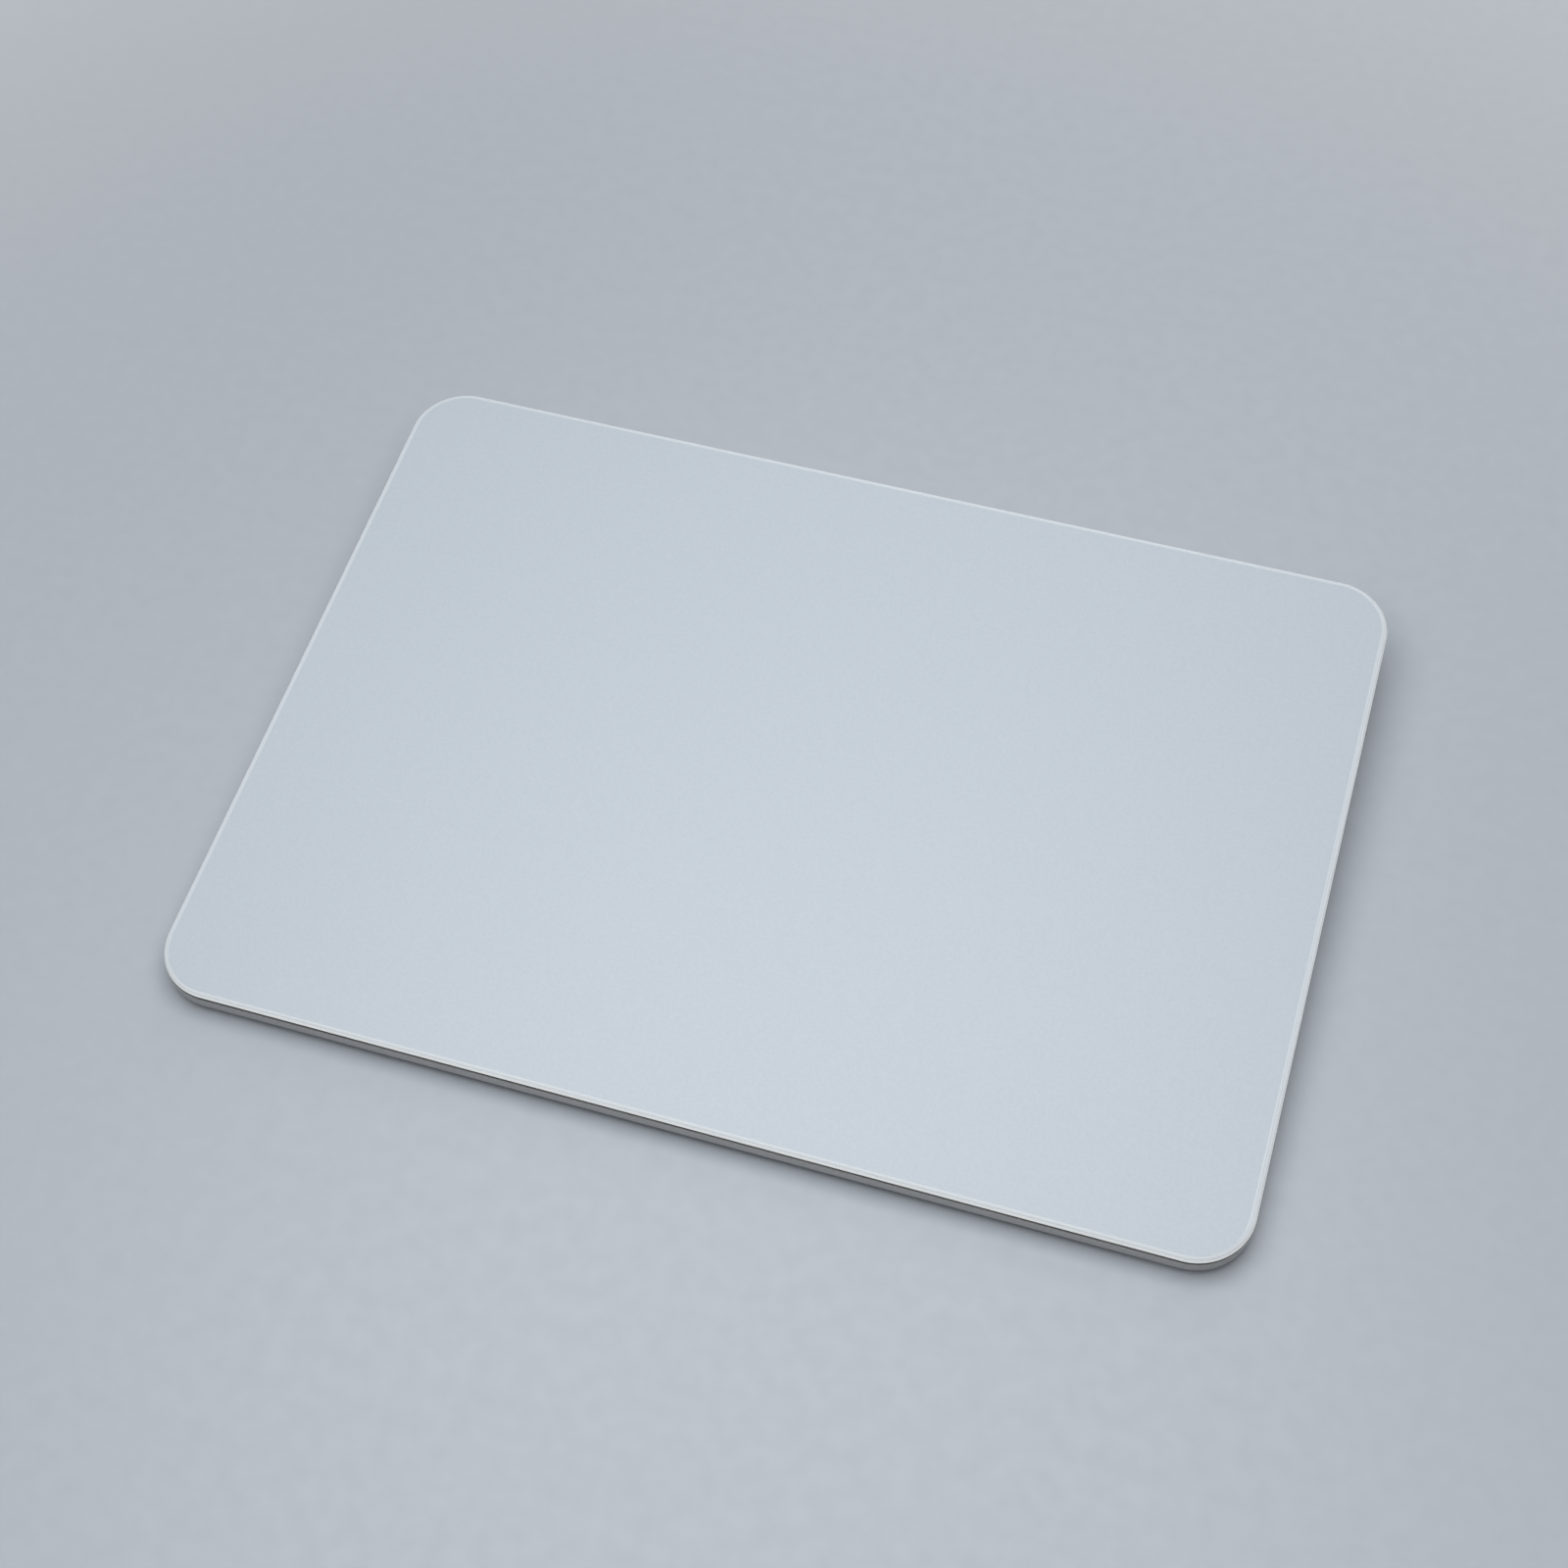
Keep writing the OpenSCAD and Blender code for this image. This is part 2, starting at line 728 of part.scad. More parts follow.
module strain_gauges() {
    color("#c58b3c") for (sx = [LEFT, RIGHT], sy = [FRONT, REAR])
        layer(flexure_low_depth, gauge_t) flexure_place(sx, sy)
            translate([tongue_root_u + gauge_l / 2, 0]) square([gauge_l, gauge_w], center = true);
}

module flexure_screws() {
    color("#5d6064") on_slope(flexure_low_depth)
        for (sx = [LEFT, RIGHT], sy = [FRONT, REAR])
            flexure_place(sx, sy) flexure_screw_places()
                mirror([0, 0, 1]) small_screw(flexure_t + corner_shelf_t);
}

// Haptic actuator

module actuator_bracket() {
    coil_window = [2 * (core_face_x + core_leg_l - core_seat), core_mid_w + 2 * (core_slot_w - core_seat)];
    bar_window = [bar_w + 4 * core_gap, 2 * (bar_half_l + core_seat)];
    color("#9a9c9e") layer(bracket_depth, bracket_t) difference() {
        translate([0, actuator_y]) difference() {
            rounded_rect(bracket_w, 2 * bracket_half_l, bracket_corner_r);
            square(coil_window, center = true);
            square(bar_window, center = true);
        }
        bracket_screw_places() circle(d = screw_hole_d);
    }
}

module core(side) {
    yoke_x = core_face_x + core_leg_l + core_yoke_w / 2;
    leg_l = core_leg_l + core_yoke_w / 2;
    leg_x = core_face_x + leg_l / 2;
    end_y = core_half_l - core_end_w / 2;
    color("#4a4b4e") layer(core_depth, core_h)
        translate([0, actuator_y]) mirror([side == LEFT ? 1 : 0, 0]) {
            translate([yoke_x, 0]) square([core_yoke_w, 2 * core_half_l], center = true);
            translate([leg_x, 0]) square([leg_l, core_mid_w], center = true);
            for (sy = [FRONT, REAR])
                translate([leg_x, sy * end_y]) square([leg_l, core_end_w], center = true);
        }
}

module core_left() { core(LEFT); }
module core_right() { core(RIGHT); }

module coil(side) {
    outer = [core_mid_w + 2 * (core_slot_w - coil_gap), core_h + 2 * winding_t];
    inner = [core_mid_w + 2 * coil_fit, core_h + 2 * coil_fit];
    x = core_face_x + core_leg_l / 2;
    color("#b06a35") on_slope(core_depth + core_h / 2)
        translate([side * x, actuator_y, 0]) rotate([90, 0, 90])
            linear_extrude(core_leg_l - 2 * coil_gap, center = true) difference() {
                rounded_rect(outer[0], outer[1], winding_t);
                square(inner, center = true);
            }
}

module coil_left() { coil(LEFT); }
module coil_right() { coil(RIGHT); }

module actuator_screws() {
    color("#5d6064") on_slope(bracket_depth) bracket_screw_places()
        small_screw(rib_depth - bracket_depth + bracket_screw_bite);
}

// From the rear bar of the bracket, down into the channel between the cells, to the logic board
module actuator_lead() {
    top = bracket_depth - lead_t / 2;
    start_y = actuator_y + core_half_l + lead_start;
    over_y = actuator_y + bracket_half_l + lead_bend;
    floor_z = cover_top + lead_t / 2;
    board_z = board_top + lead_t / 2;
    path = [
        [start_y, layer_z(start_y, top)], [over_y, layer_z(over_y, top)],
        [over_y + 2 * lead_bend, floor_z], [board_front_y - 3 * lead_bend, floor_z],
        [board_front_y - lead_bend, board_z], [board_front_y + lead_lap, board_z]
    ];
    color("#b98a4a") translate([lead_x, 0, 0]) flat_lead(path, lead_t, lead_w);
}

// Battery

module battery_cell(side) {
    color("#d8d8d4") translate([side * (cell_inner_x + cell_w / 2), cell_mid_y, cell_low])
        soft_plate(cell_w, cell_d, cell_corner_r, cell_top - cell_low, cell_edge_r);
}

module battery_cell_left() { battery_cell(LEFT); }
module battery_cell_right() { battery_cell(RIGHT); }

module battery_tape() {
    strip = [cell_w - 2 * cell_tape_inset, cell_d / 4];
    guard_strip = [guard_w - 2 * guard_tape_inset, guard_l - 2 * guard_tape_inset];
    color("#f0ede4") translate([0, 0, cover_top]) linear_extrude(adhesive_t) {
        for (side = [LEFT, RIGHT], sy = [FRONT, REAR])
            translate([side * (cell_inner_x + cell_w / 2), cell_mid_y + sy * cell_d / 4])
                square(strip, center = true);
        translate([guard_x, cell_mid_y]) square(guard_strip, center = true);
    }
}

// Small guard circuit that both cells are welded to
module battery_board() {
    color("#245c43") translate([guard_x, cell_mid_y, cell_low]) linear_extrude(guard_t)
        square([guard_w, guard_l], center = true);
}

module battery_tabs() {
    lap_x = [guard_x - guard_w / 2 + tab_lap, guard_x + guard_w / 2 - tab_lap];
    color("#c3c5c6") translate([0, cell_mid_y, guard_top]) linear_extrude(tab_t)
        for (sy = [FRONT, REAR]) {
            translate([-cell_inner_x, sy * guard_l / 4 - tab_w / 2])
                square([cell_inner_x + lap_x[0], tab_w]);
            translate([lap_x[1], sy * guard_l / 4 - tab_w / 2])
                square([cell_inner_x - lap_x[1], tab_w]);
        }
}

module battery_lead() {
    end_y = cell_mid_y + guard_l / 2;
    low_z = guard_top + lead_t / 2;
    high_z = board_top + lead_t / 2;
    path = [
        [end_y - lead_lap, low_z], [end_y + lead_bend, low_z],
        [board_front_y - lead_bend, high_z], [board_front_y + lead_lap, high_z]
    ];
    color("#b98a4a") translate([guard_x, 0, 0]) flat_lead(path, lead_t, battery_lead_w);
}

// Logic board

module logic_board() {
    color("#1d4736") translate([0, 0, board_low]) linear_extrude(board_t) difference() {
        translate([board_mid_x, board_front_y + board_w / 2]) rounded_rect(board_l, board_w, board_corner_r);
        board_screw_places() circle(d = screw_hole_d);
    }
}

// Folded sheet-metal lid over part of the board, open at the bottom
module shield_can(x, w, front_y, back_y) {
    d = back_y - front_y;
    translate([x, (front_y + back_y) / 2, board_top]) difference() {
        linear_extrude(shield_h) rounded_rect(w, d, can_corner_r);
        translate([0, 0, -can_t]) linear_extrude(shield_h)
            rounded_rect(w - 2 * can_t, d - 2 * can_t, can_corner_r - can_t);
    }
}

module main_shield() {
    color("#c4c7c9") shield_can(
        main_shield_x, main_shield_w, board_front_y + part_gap, board_back_y - part_gap
    );
}

module radio_shield() {
    connector_back_y = ribbon_slot_y + ribbon_conn_d / 2;
    color("#c4c7c9") shield_can(
        ribbon_x, radio_shield_w, connector_back_y + part_gap, board_back_y - part_gap
    );
}

// Charger chip, its choke beside the switch, and the radio's clock
module board_chips() {
    choke_x = switch_x - switch_body_l / 2 - part_gap - choke_w / 2;
    color("#2b2d30") translate([0, 0, board_top]) {
        linear_extrude(charger_h) translate([switch_x, board_front_y + part_gap + charger_d / 2])
            square([charger_w, charger_d], center = true);
        linear_extrude(choke_h) translate([choke_x, board_back_y - part_gap - choke_w / 2])
            rounded_rect(choke_w, choke_w, can_corner_r);
        linear_extrude(clock_h) translate([board_screws_xy[0][0], board_front_y + clock_y])
            square([clock_w, clock_d], center = true);
    }
}

module board_plugs() {
    color("#e2ddcf") translate([0, board_front_y + lead_lap / 2, board_top + lead_t])
        linear_extrude(plug_h) {
            translate([guard_x, 0]) square([battery_lead_w + plug_rim, plug_d], center = true);
            translate([lead_x, 0]) square([lead_w + plug_rim, plug_d], center = true);
        }
}

module board_screws() {
    color("#5d6064") translate([0, 0, board_top]) board_screw_places()
        small_screw(board_t + board_screw_bite);
}

module antenna() {
    x = antenna_w / 2 + part_gap - board_left;
    y = board_back_y - part_gap - antenna_d / 2;
    color("#e6e3da") translate([x, y, board_top])
        linear_extrude(antenna_h) rounded_rect(antenna_w, antenna_d, can_corner_r / 2);
}

module ribbon_connector() {
    color("#e2ddcf") translate([ribbon_x, ribbon_slot_y, board_top]) difference() {
        linear_extrude(ribbon_conn_h) square([ribbon_conn_w, ribbon_conn_d], center = true);
        translate([0, 0, ribbon_slot_floor]) linear_extrude(ribbon_conn_h)
            square([ribbon_w + ribbon_slot, ribbon_slot], center = true);
    }
}

// Loose fold from the sensor board, through the stiffener, into the connector
module sensor_ribbon() {
    top = stiffener_depth + ribbon_t / 2;
    start_y = ribbon_y + ribbon_lap;
    fold_y = ribbon_y - ribbon_fold;
    conn_top = board_top + ribbon_conn_h;
    drop = layer_z(ribbon_y, top) - conn_top;
    path = [
        [start_y, layer_z(start_y, top)], [ribbon_y, layer_z(ribbon_y, top)],
        [fold_y, conn_top + fold_top_share * drop], [fold_y, conn_top + fold_low_share * drop],
        [ribbon_slot_y, conn_top + fold_entry_share * drop],
        [ribbon_slot_y, board_top + 2 * ribbon_slot_floor]
    ];
    color("#b98a4a") translate([ribbon_x, 0, 0]) flat_lead(path, ribbon_t, ribbon_w);
}

// Charging socket

module socket_shell() {
    color("#b9bcbe") translate([0, shell_back_y + shell_l, shell_mid_z]) rotate([90, 0, 0])
        linear_extrude(shell_l) difference() {
            stadium(shell_w, shell_h);
            stadium(shell_w - 2 * shell_t, shell_h - 2 * shell_t);
        }
}

module socket_tongue() {
    inner_t = shell_t + tongue_fit;
    tip = tongue_base_l + tongue_plate_l;
    color("#2a2c2f") translate([0, shell_back_y, shell_mid_z]) rotate([-90, 0, 0]) {
        linear_extrude(tongue_base_l) stadium(shell_w - 2 * inner_t, shell_h - 2 * inner_t);
        rotate([0, -90, 0]) linear_extrude(tongue_plate_w, center = true) polygon([
            [0, -tongue_plate_t / 2], [tip - tongue_nose_l, -tongue_plate_t / 2],
            [tip, -tongue_nose_t / 2], [tip, tongue_nose_t / 2],
            [tip - tongue_nose_l, tongue_plate_t / 2], [0, tongue_plate_t / 2]
        ]);
    }
}

// Power switch

module switch_body() {
    groove = [lug_w + knob_travel + 2 * lug_clear, lug_l + lug_clear, lug_w + 2 * lug_clear];
    color("#34373b") difference() {
        translate([switch_x - switch_body_l / 2, switch_body_back_y - switch_body_d, board_top])
            cube([switch_body_l, switch_body_d, switch_body_h]);
        translate([switch_x - groove[0] / 2, switch_body_back_y - groove[1], switch_z - groove[2] / 2])
            cube([groove[0], 2 * groove[1], groove[2]]);
    }
}

module switch_knob() {
    cap_l = wall_t + flange_gap - knob_recess;
    groove_pitch = 1;
    groove_r = 0.22;
    color("#e4e7e9") difference() {
        translate([knob_x, flange_back_y, switch_z]) rotate([-90, 0, 0]) {
            translate([0, 0, -flange_t]) linear_extrude(flange_t)
                rounded_rect(flange_l, flange_h, flange_corner_r);
            soft_stadium(knob_l, knob_h, cap_l, knob_edge_r);
            translate([0, 0, -flange_t - lug_l]) linear_extrude(flange_t + lug_l)
                square(lug_w, center = true);
        }
        for (i = [-1 : 1])
            translate([knob_x + i * groove_pitch, flange_back_y + cap_l, switch_z])
                cylinder(r = groove_r, h = 2 * knob_h, center = true);
    }
}

// Coloured film on the knob's flange, uncovered in the slot when the knob is slid to the right
module switch_indicator() {
    indicator_t = flange_gap - film_gap;
    indicator_l = knob_travel - knob_clear;
    left = knob_x - knob_l / 2 - knob_clear - knob_travel;
    color("#4caf50") translate([left + indicator_l / 2, flange_back_y + indicator_t, switch_z])
        rotate([90, 0, 0]) linear_extrude(indicator_t) square([indicator_l, slot_h], center = true);
}

touch_glass();
glass_film();
sensor_board();
stiffener_plate();
touch_controllers();
attraction_bar();
isolator_pads();
case_frame();
bottom_cover();
cover_gasket();
foot_front_left();
foot_front_right();
foot_rear_left();
foot_rear_right();
flexure_front_left();
flexure_front_right();
flexure_rear_left();
flexure_rear_right();
strain_gauges();
flexure_screws();
actuator_bracket();
core_left();
core_right();
coil_left();
coil_right();
actuator_screws();
actuator_lead();
battery_cell_left();
battery_cell_right();
battery_tape();
battery_board();
battery_tabs();
battery_lead();
logic_board();
main_shield();
radio_shield();
board_chips();
board_plugs();
board_screws();
antenna();
ribbon_connector();
sensor_ribbon();
socket_shell();
socket_tongue();
switch_body();
switch_knob();
switch_indicator();
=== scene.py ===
"""Looks of a desk trackpad: a white glass touch plate on a slim wedge of blasted aluminium.

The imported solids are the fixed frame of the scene. Each sub-assembly is a class that dresses its solids and
models what needs a finer mesh than they have. Lengths are metres, and a name that ends in _mm is in
millimetres. X is to the user's right, Y towards the high back edge and Z up.
"""

import json
import logging
import math
from collections.abc import Callable, Iterator
from contextlib import contextmanager
from dataclasses import dataclass
from enum import Enum

import bmesh
import bpy
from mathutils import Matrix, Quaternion, Vector


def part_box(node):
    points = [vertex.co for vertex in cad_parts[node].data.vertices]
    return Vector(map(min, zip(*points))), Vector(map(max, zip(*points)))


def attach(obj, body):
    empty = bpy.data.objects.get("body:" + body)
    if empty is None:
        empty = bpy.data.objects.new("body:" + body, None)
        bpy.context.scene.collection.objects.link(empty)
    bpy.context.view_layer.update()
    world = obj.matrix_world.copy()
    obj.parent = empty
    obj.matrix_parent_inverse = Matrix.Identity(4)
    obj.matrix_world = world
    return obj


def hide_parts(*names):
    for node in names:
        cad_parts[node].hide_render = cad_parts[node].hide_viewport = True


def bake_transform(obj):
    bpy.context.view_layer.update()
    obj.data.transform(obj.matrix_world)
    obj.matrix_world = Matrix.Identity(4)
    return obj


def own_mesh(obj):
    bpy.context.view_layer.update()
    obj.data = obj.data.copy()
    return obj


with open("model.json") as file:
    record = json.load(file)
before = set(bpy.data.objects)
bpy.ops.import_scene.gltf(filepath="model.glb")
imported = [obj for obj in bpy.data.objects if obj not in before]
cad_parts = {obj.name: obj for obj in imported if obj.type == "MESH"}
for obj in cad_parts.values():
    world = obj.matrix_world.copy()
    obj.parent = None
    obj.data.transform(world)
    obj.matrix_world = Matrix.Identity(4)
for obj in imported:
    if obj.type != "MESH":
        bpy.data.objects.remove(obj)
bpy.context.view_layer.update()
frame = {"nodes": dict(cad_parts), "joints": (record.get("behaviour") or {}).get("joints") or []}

LOG = logging.getLogger("trackpad")
MM = 0.001

# Limits for telling edges and faces apart
SAME_PLACE = 0.001 * MM
ALONG_AXIS = 0.99
FLAT_UP = 0.999
SMOOTH_ANGLE = math.radians(30)

# Bodies that the pieces ride on
CASE = "case"
SUSPENSION = "suspension"
TOUCH_MODULE = "touch_module"

# Joint that the touch plate is pressed along
PRESS = "surface_press"

# Places that repeat in the names of the solids
SIDES = ("left", "right")
CORNERS = tuple(f"{end}_{side}" for end in ("front", "rear") for side in SIDES)


def linear(hex_colour: str) -> tuple[float, float, float, float]:
    """Turn an sRGB hex colour into linear light.

    Args:
        hex_colour: Colour written as "#RRGGBB".

    Returns:
        Linear red, green and blue, with a full alpha.
    """
    channels = [int(hex_colour[i : i + 2], 16) / 255 for i in (1, 3, 5)]
    light = [c / 12.92 if c <= 0.04045 else ((c + 0.055) / 1.055) ** 2.4 for c in channels]
    return (light[0], light[1], light[2], 1.0)


def add_node(
    tree: bpy.types.NodeTree, kind: str, inputs: dict[str | int, object] | None = None, **settings: object
) -> bpy.types.Node:
    """Add one shader node with its settings and links.

    Args:
        tree: Node tree that the node goes into.
        kind: Blender's name for the node type.
        inputs: Value, or socket to link from, for each input by name or number.
        settings: Properties of the node itself.

    Returns:
        The new node.
    """
    node = tree.nodes.new(kind)
    for name, value in settings.items():
        setattr(node, name, value)
    for key, value in (inputs or {}).items():
        if isinstance(value, bpy.types.NodeSocket):
            tree.links.new(value, node.inputs[key])
        else:
            node.inputs[key].default_value = value
    return node


class Pattern(Enum):
    """Kinds of surface pattern, each read from a piece's Object coordinates."""

    GRAIN = "even grain, as etching, blasting and moulding leave"
    STREAK = "grain drawn out one way, as rolling leaves"
    BANDS = "even bands, as windings, laminations and conductors have"
    CELLS = "rows of cells with lines between, as copper under a solder mask has"
    CREASE = "wide soft creases, as a foil has"


class Axis(Enum):
    """Axis of the frame that a pattern runs along or repeats along."""

    X = 0
    Y = 1
    Z = 2


@dataclass(frozen=True)
class Finish:
    """One surface: what it is made of and how it was made.

    Attributes:
        name: Material and surface, in a maker's words.
        colour: sRGB hex of the surface.
        shade: sRGB hex that the pattern mixes in.
        roughness: Mean roughness.
        pattern: Kind of pattern that breaks the surface up.
        pitch_mm: Size of one grain, streak, band, cell or crease.
        relief_mm: Height of the pattern.
        metallic: 1 for a bare metal.
        ior: Index of refraction, at its default for a metal.
        swing: How far the roughness moves with the pattern.
        axis: Axis that streaks run along or bands repeat along.
        coat: Weight of a clear layer on top.
        painted_glow: Painted light that the surface sends out itself, standing in for the light that a lit
            sheet of glass carries to its edge.
    """

    name: str
    colour: str
    shade: str
    roughness: float
    pattern: Pattern
    pitch_mm: float
    relief_mm: float = 0.0
    metallic: float = 0.0
    ior: float = 1.5
    swing: float = 0.04
    axis: Axis = Axis.X
    coat: float = 0.0
    painted_glow: float = 0.0

    STREAK_RATIO = 30.0
    CELL_L = 1.6
    CELL_W = 0.7
    CELL_GAP = 0.06
    CREASE_BEND = 1.2
    WAVE_PERIOD = 2 * math.pi / 20
    NOISE_LOW = 0.32
    NOISE_HIGH = 0.68
    NOISE_DETAIL = 3.0

    # Numbers of the colour sockets on a Mix node, whose names repeat
    MIX_FACTOR = 0
    MIX_FROM = 6
    MIX_TO = 7
    MIX_RESULT = 2

    def factor(self, tree: bpy.types.NodeTree) -> bpy.types.NodeSocket:
        """Add the pattern's nodes.

        Args:
            tree: Node tree of the material.

        Returns:
            Socket that runs from 0 to 1 over the pattern.
        """
        pitch = self.pitch_mm * MM
        place = add_node(tree, "ShaderNodeTexCoord").outputs["Object"]
        if self.pattern is Pattern.BANDS:
            wave = {"Vector": place, "Scale": self.WAVE_PERIOD / pitch}
            return add_node(tree, "ShaderNodeTexWave", wave, bands_direction=self.axis.name).outputs["Fac"]
        if self.pattern is Pattern.CELLS:
            cell = {
                "Vector": place,
                "Scale": 1 / pitch,
                "Mortar Size": self.CELL_GAP,
                "Brick Width": self.CELL_L,
                "Row Height": self.CELL_W,
            }
            return add_node(tree, "ShaderNodeTexBrick", cell).outputs["Fac"]
        scale = Vector((1.0, 1.0, 1.0))
        if self.pattern is Pattern.STREAK:
            scale[self.axis.value] = 1 / self.STREAK_RATIO
        mapped = add_node(tree, "ShaderNodeMapping", {"Vector": place, "Scale": scale}).outputs["Vector"]
        bend = self.CREASE_BEND if self.pattern is Pattern.CREASE else 0.0
        noise = {"Vector": mapped, "Scale": 1 / pitch, "Detail": self.NOISE_DETAIL, "Distortion": bend}
        raw = add_node(tree, "ShaderNodeTexNoise", noise).outputs["Fac"]
        spread = {"Value": raw, "From Min": self.NOISE_LOW, "From Max": self.NOISE_HIGH}
        return add_node(tree, "ShaderNodeMapRange", spread).outputs["Result"]

    def material(self) -> bpy.types.Material:
        """Build the material, or give the one that was built before.

        Returns:
            The node material of this finish.
        """
        made = bpy.data.materials.get(self.name)
        if made is not None:
            return made
        made = bpy.data.materials.new(self.name)
        made.use_nodes = True
        tree = made.node_tree
        tree.nodes.clear()
        factor = self.factor(tree)
        mixed = {
            self.MIX_FACTOR: factor,
            self.MIX_FROM: linear(self.shade),
            self.MIX_TO: linear(self.colour),
        }
        colour = add_node(tree, "ShaderNodeMix", mixed, data_type="RGBA").outputs[self.MIX_RESULT]
        rough, smooth = self.roughness + self.swing, self.roughness - self.swing
        swing = {"Value": factor, "To Min": rough, "To Max": smooth}
        roughness = add_node(tree, "ShaderNodeMapRange", swing).outputs["Result"]
        surface = {
            "Base Color": colour,
            "Roughness": roughness,
            "Metallic": self.metallic,
            "IOR": self.ior,
            "Coat Weight": self.coat,
            # Painted glow: the surface sends out light in its own colour, though it is no lamp.
            "Emission Color": colour,
            "Emission Strength": self.painted_glow,
        }
        if self.relief_mm:
            height = {"Height": factor, "Distance": self.relief_mm * MM}
            surface["Normal"] = add_node(tree, "ShaderNodeBump", height).outputs["Normal"]
        shader = add_node(tree, "ShaderNodeBsdfPrincipled", surface)
        add_node(tree, "ShaderNodeOutputMaterial", {"Surface": shader.outputs["BSDF"]})
        return made


# Acid etching gives a satin face that scatters light evenly, so the white ink behind it reads as pale blue.
# The etch is finer than a pixel and is drawn as a faint grain that just shows.
ETCHED_GLASS = Finish(
    "acid_etched_white_backed_glass", "#C8D2DB", "#C4CED7", 0.42, Pattern.GRAIN, 0.5, relief_mm=0.0004
)
# Polishing leaves the rounded rim clear over the white ink; its lighter colour and faint glow are a painted
# highlight for the light that the glass brings out there.
POLISHED_RIM_PAINTED_HIGHLIGHT = Finish(
    "polished_glass_rim_painted_highlight", "#D2DAE1", "#D0D8DF", 0.24, Pattern.GRAIN, 1.5, painted_glow=0.085
)
# A fine-ground band round the rim, painted a shade lighter than the face and given a painted glow for the
# light that the glass scatters out there.
GROUND_BAND_PAINTED_GLOW = Finish("fine_ground_glass_band_painted_glow", "#E0E6EA", "#DDE3E7", 0.3, Pattern.GRAIN, 0.3, painted_glow=0.15)
# The ground side of the plate is painted a brighter, warmer white with a strong painted glow, standing in for
# the light that the glass carries out at its edge.
GROUND_SIDE_PAINTED_GLOW = Finish("ground_glass_side_painted_glow", "#F2F4F3", "#EEF1F0", 0.32, Pattern.GRAIN, 0.3, painted_glow=0.32)
# Painted shade: the back and lower arris of the glass are a dark grey, so that the seam under the plate reads
# dark.
PAINTED_SEAM_SHADE = Finish("painted_seam_shade_glass_back", "#4A4D50", "#44474A", 0.6, Pattern.GRAIN, 0.4)
# Bead blasting and clear anodising leave a satin grey metal with a soft broad sheen and tiny pits.
BLASTED_ALUMINIUM = Finish(
    "bead_blasted_anodised_aluminium", "#BAB8B5", "#B1AFAC", 0.4,
    Pattern.GRAIN, 0.18, 0.004, metallic=1.0,
)
# Spark-eroded mould texture: a pale matt plastic with a fine even tooth.
TEXTURED_PLASTIC = Finish(
    "spark_textured_polycarbonate", "#D3D6D8", "#CDD0D2", 0.55, Pattern.GRAIN, 0.3, 0.012, ior=1.58
)
# Moulded silicone: a soft pale grey with almost no highlight.
FOOT_RUBBER = Finish(
    "moulded_silicone_rubber", "#C9CBCC", "#C2C4C5", 0.8, Pattern.GRAIN, 0.4, 0.01, ior=1.41
)
# A fine-polished mould gives the knob a smooth face with a low gloss.
KNOB_PLASTIC = Finish("moulded_abs", "#DDE1E3", "#D8DCDE", 0.32, Pattern.GRAIN, 0.6, 0.002, ior=1.54)
# Printed ink film: flat, saturated and slightly glossy.
INDICATOR_FILM = Finish("printed_green_film", "#3FA650", "#3A9E4B", 0.35, Pattern.GRAIN, 0.25, ior=1.57)
# Deep drawing leaves fine lines along the shell and a bright cold sheen.
DRAWN_STEEL = Finish(
    "drawn_stainless_steel", "#C0C2C4", "#B2B4B6", 0.26,
    Pattern.STREAK, 0.12, 0.002, metallic=1.0, axis=Axis.Y,
)
# Glass-filled resin moulds dull and almost black.
SOCKET_RESIN = Finish(
    "moulded_liquid_crystal_resin", "#1D1E20", "#26272A", 0.5, Pattern.GRAIN, 0.2, 0.004, ior=1.6
)
# Plated contacts: a warm bright metal with faint rolling lines.
GOLD_PLATE = Finish(
    "gold_plated_bronze", "#E0BE72", "#D2AC5C", 0.22,
    Pattern.STREAK, 0.08, 0.001, metallic=1.0, axis=Axis.Y,
)
# Solder mask over copper: a glossy dark green in which the conductors stand a shade lighter.
SOLDER_MASK = Finish(
    "solder_mask_over_copper", "#1F5138", "#275E43", 0.34, Pattern.CELLS, 0.9, 0.01, ior=1.52, coat=0.2
)
# Transfer-moulded epoxy: black, matt and slightly speckled.
CHIP_RESIN = Finish(
    "transfer_moulded_epoxy", "#202022", "#2A2A2C", 0.6, Pattern.GRAIN, 0.15, 0.004, ior=1.55
)
# Stamped sheets stacked on edge: dark metal with a line at each sheet.
LAMINATED_IRON = Finish(
    "stacked_silicon_iron_sheets", "#77797D", "#3E3F42", 0.45,
    Pattern.BANDS, 0.2, 0.01, metallic=1.0, axis=Axis.Z,
)
# Soft cast gel: dark, smooth and dull.
GEL_RUBBER = Finish("cast_silicone_gel", "#2E3034", "#36383C", 0.7, Pattern.GRAIN, 0.5, 0.006, ior=1.41)
# Die-cut foam tape: black with open pores.
FOAM_TAPE = Finish("die_cut_foam_tape", "#1B1C1E", "#2B2C2F", 0.9, Pattern.GRAIN, 0.12, 0.02, ior=1.49)
# Cold-rolled spring strip: a bright metal with long fine lines.
SPRING_STEEL = Finish(
    "cold_rolled_spring_steel", "#C3C5C6", "#ABADAF", 0.28, Pattern.STREAK, 0.15, 0.002, metallic=1.0
)
# Hot-dipped and rolled sheet: a duller grey metal with long lines.
ROLLED_STEEL = Finish(
    "rolled_zinc_steel", "#A7A9AB", "#939597", 0.38, Pattern.STREAK, 0.3, 0.003, metallic=1.0
)
# Clear amber film over copper conductors, which show as fine lighter lines.
FLEX_FILM = Finish(
    "polyimide_over_copper", "#B9752F", "#8E5420", 0.3, Pattern.BANDS, 0.5, 0.01, ior=1.7, coat=0.3
)
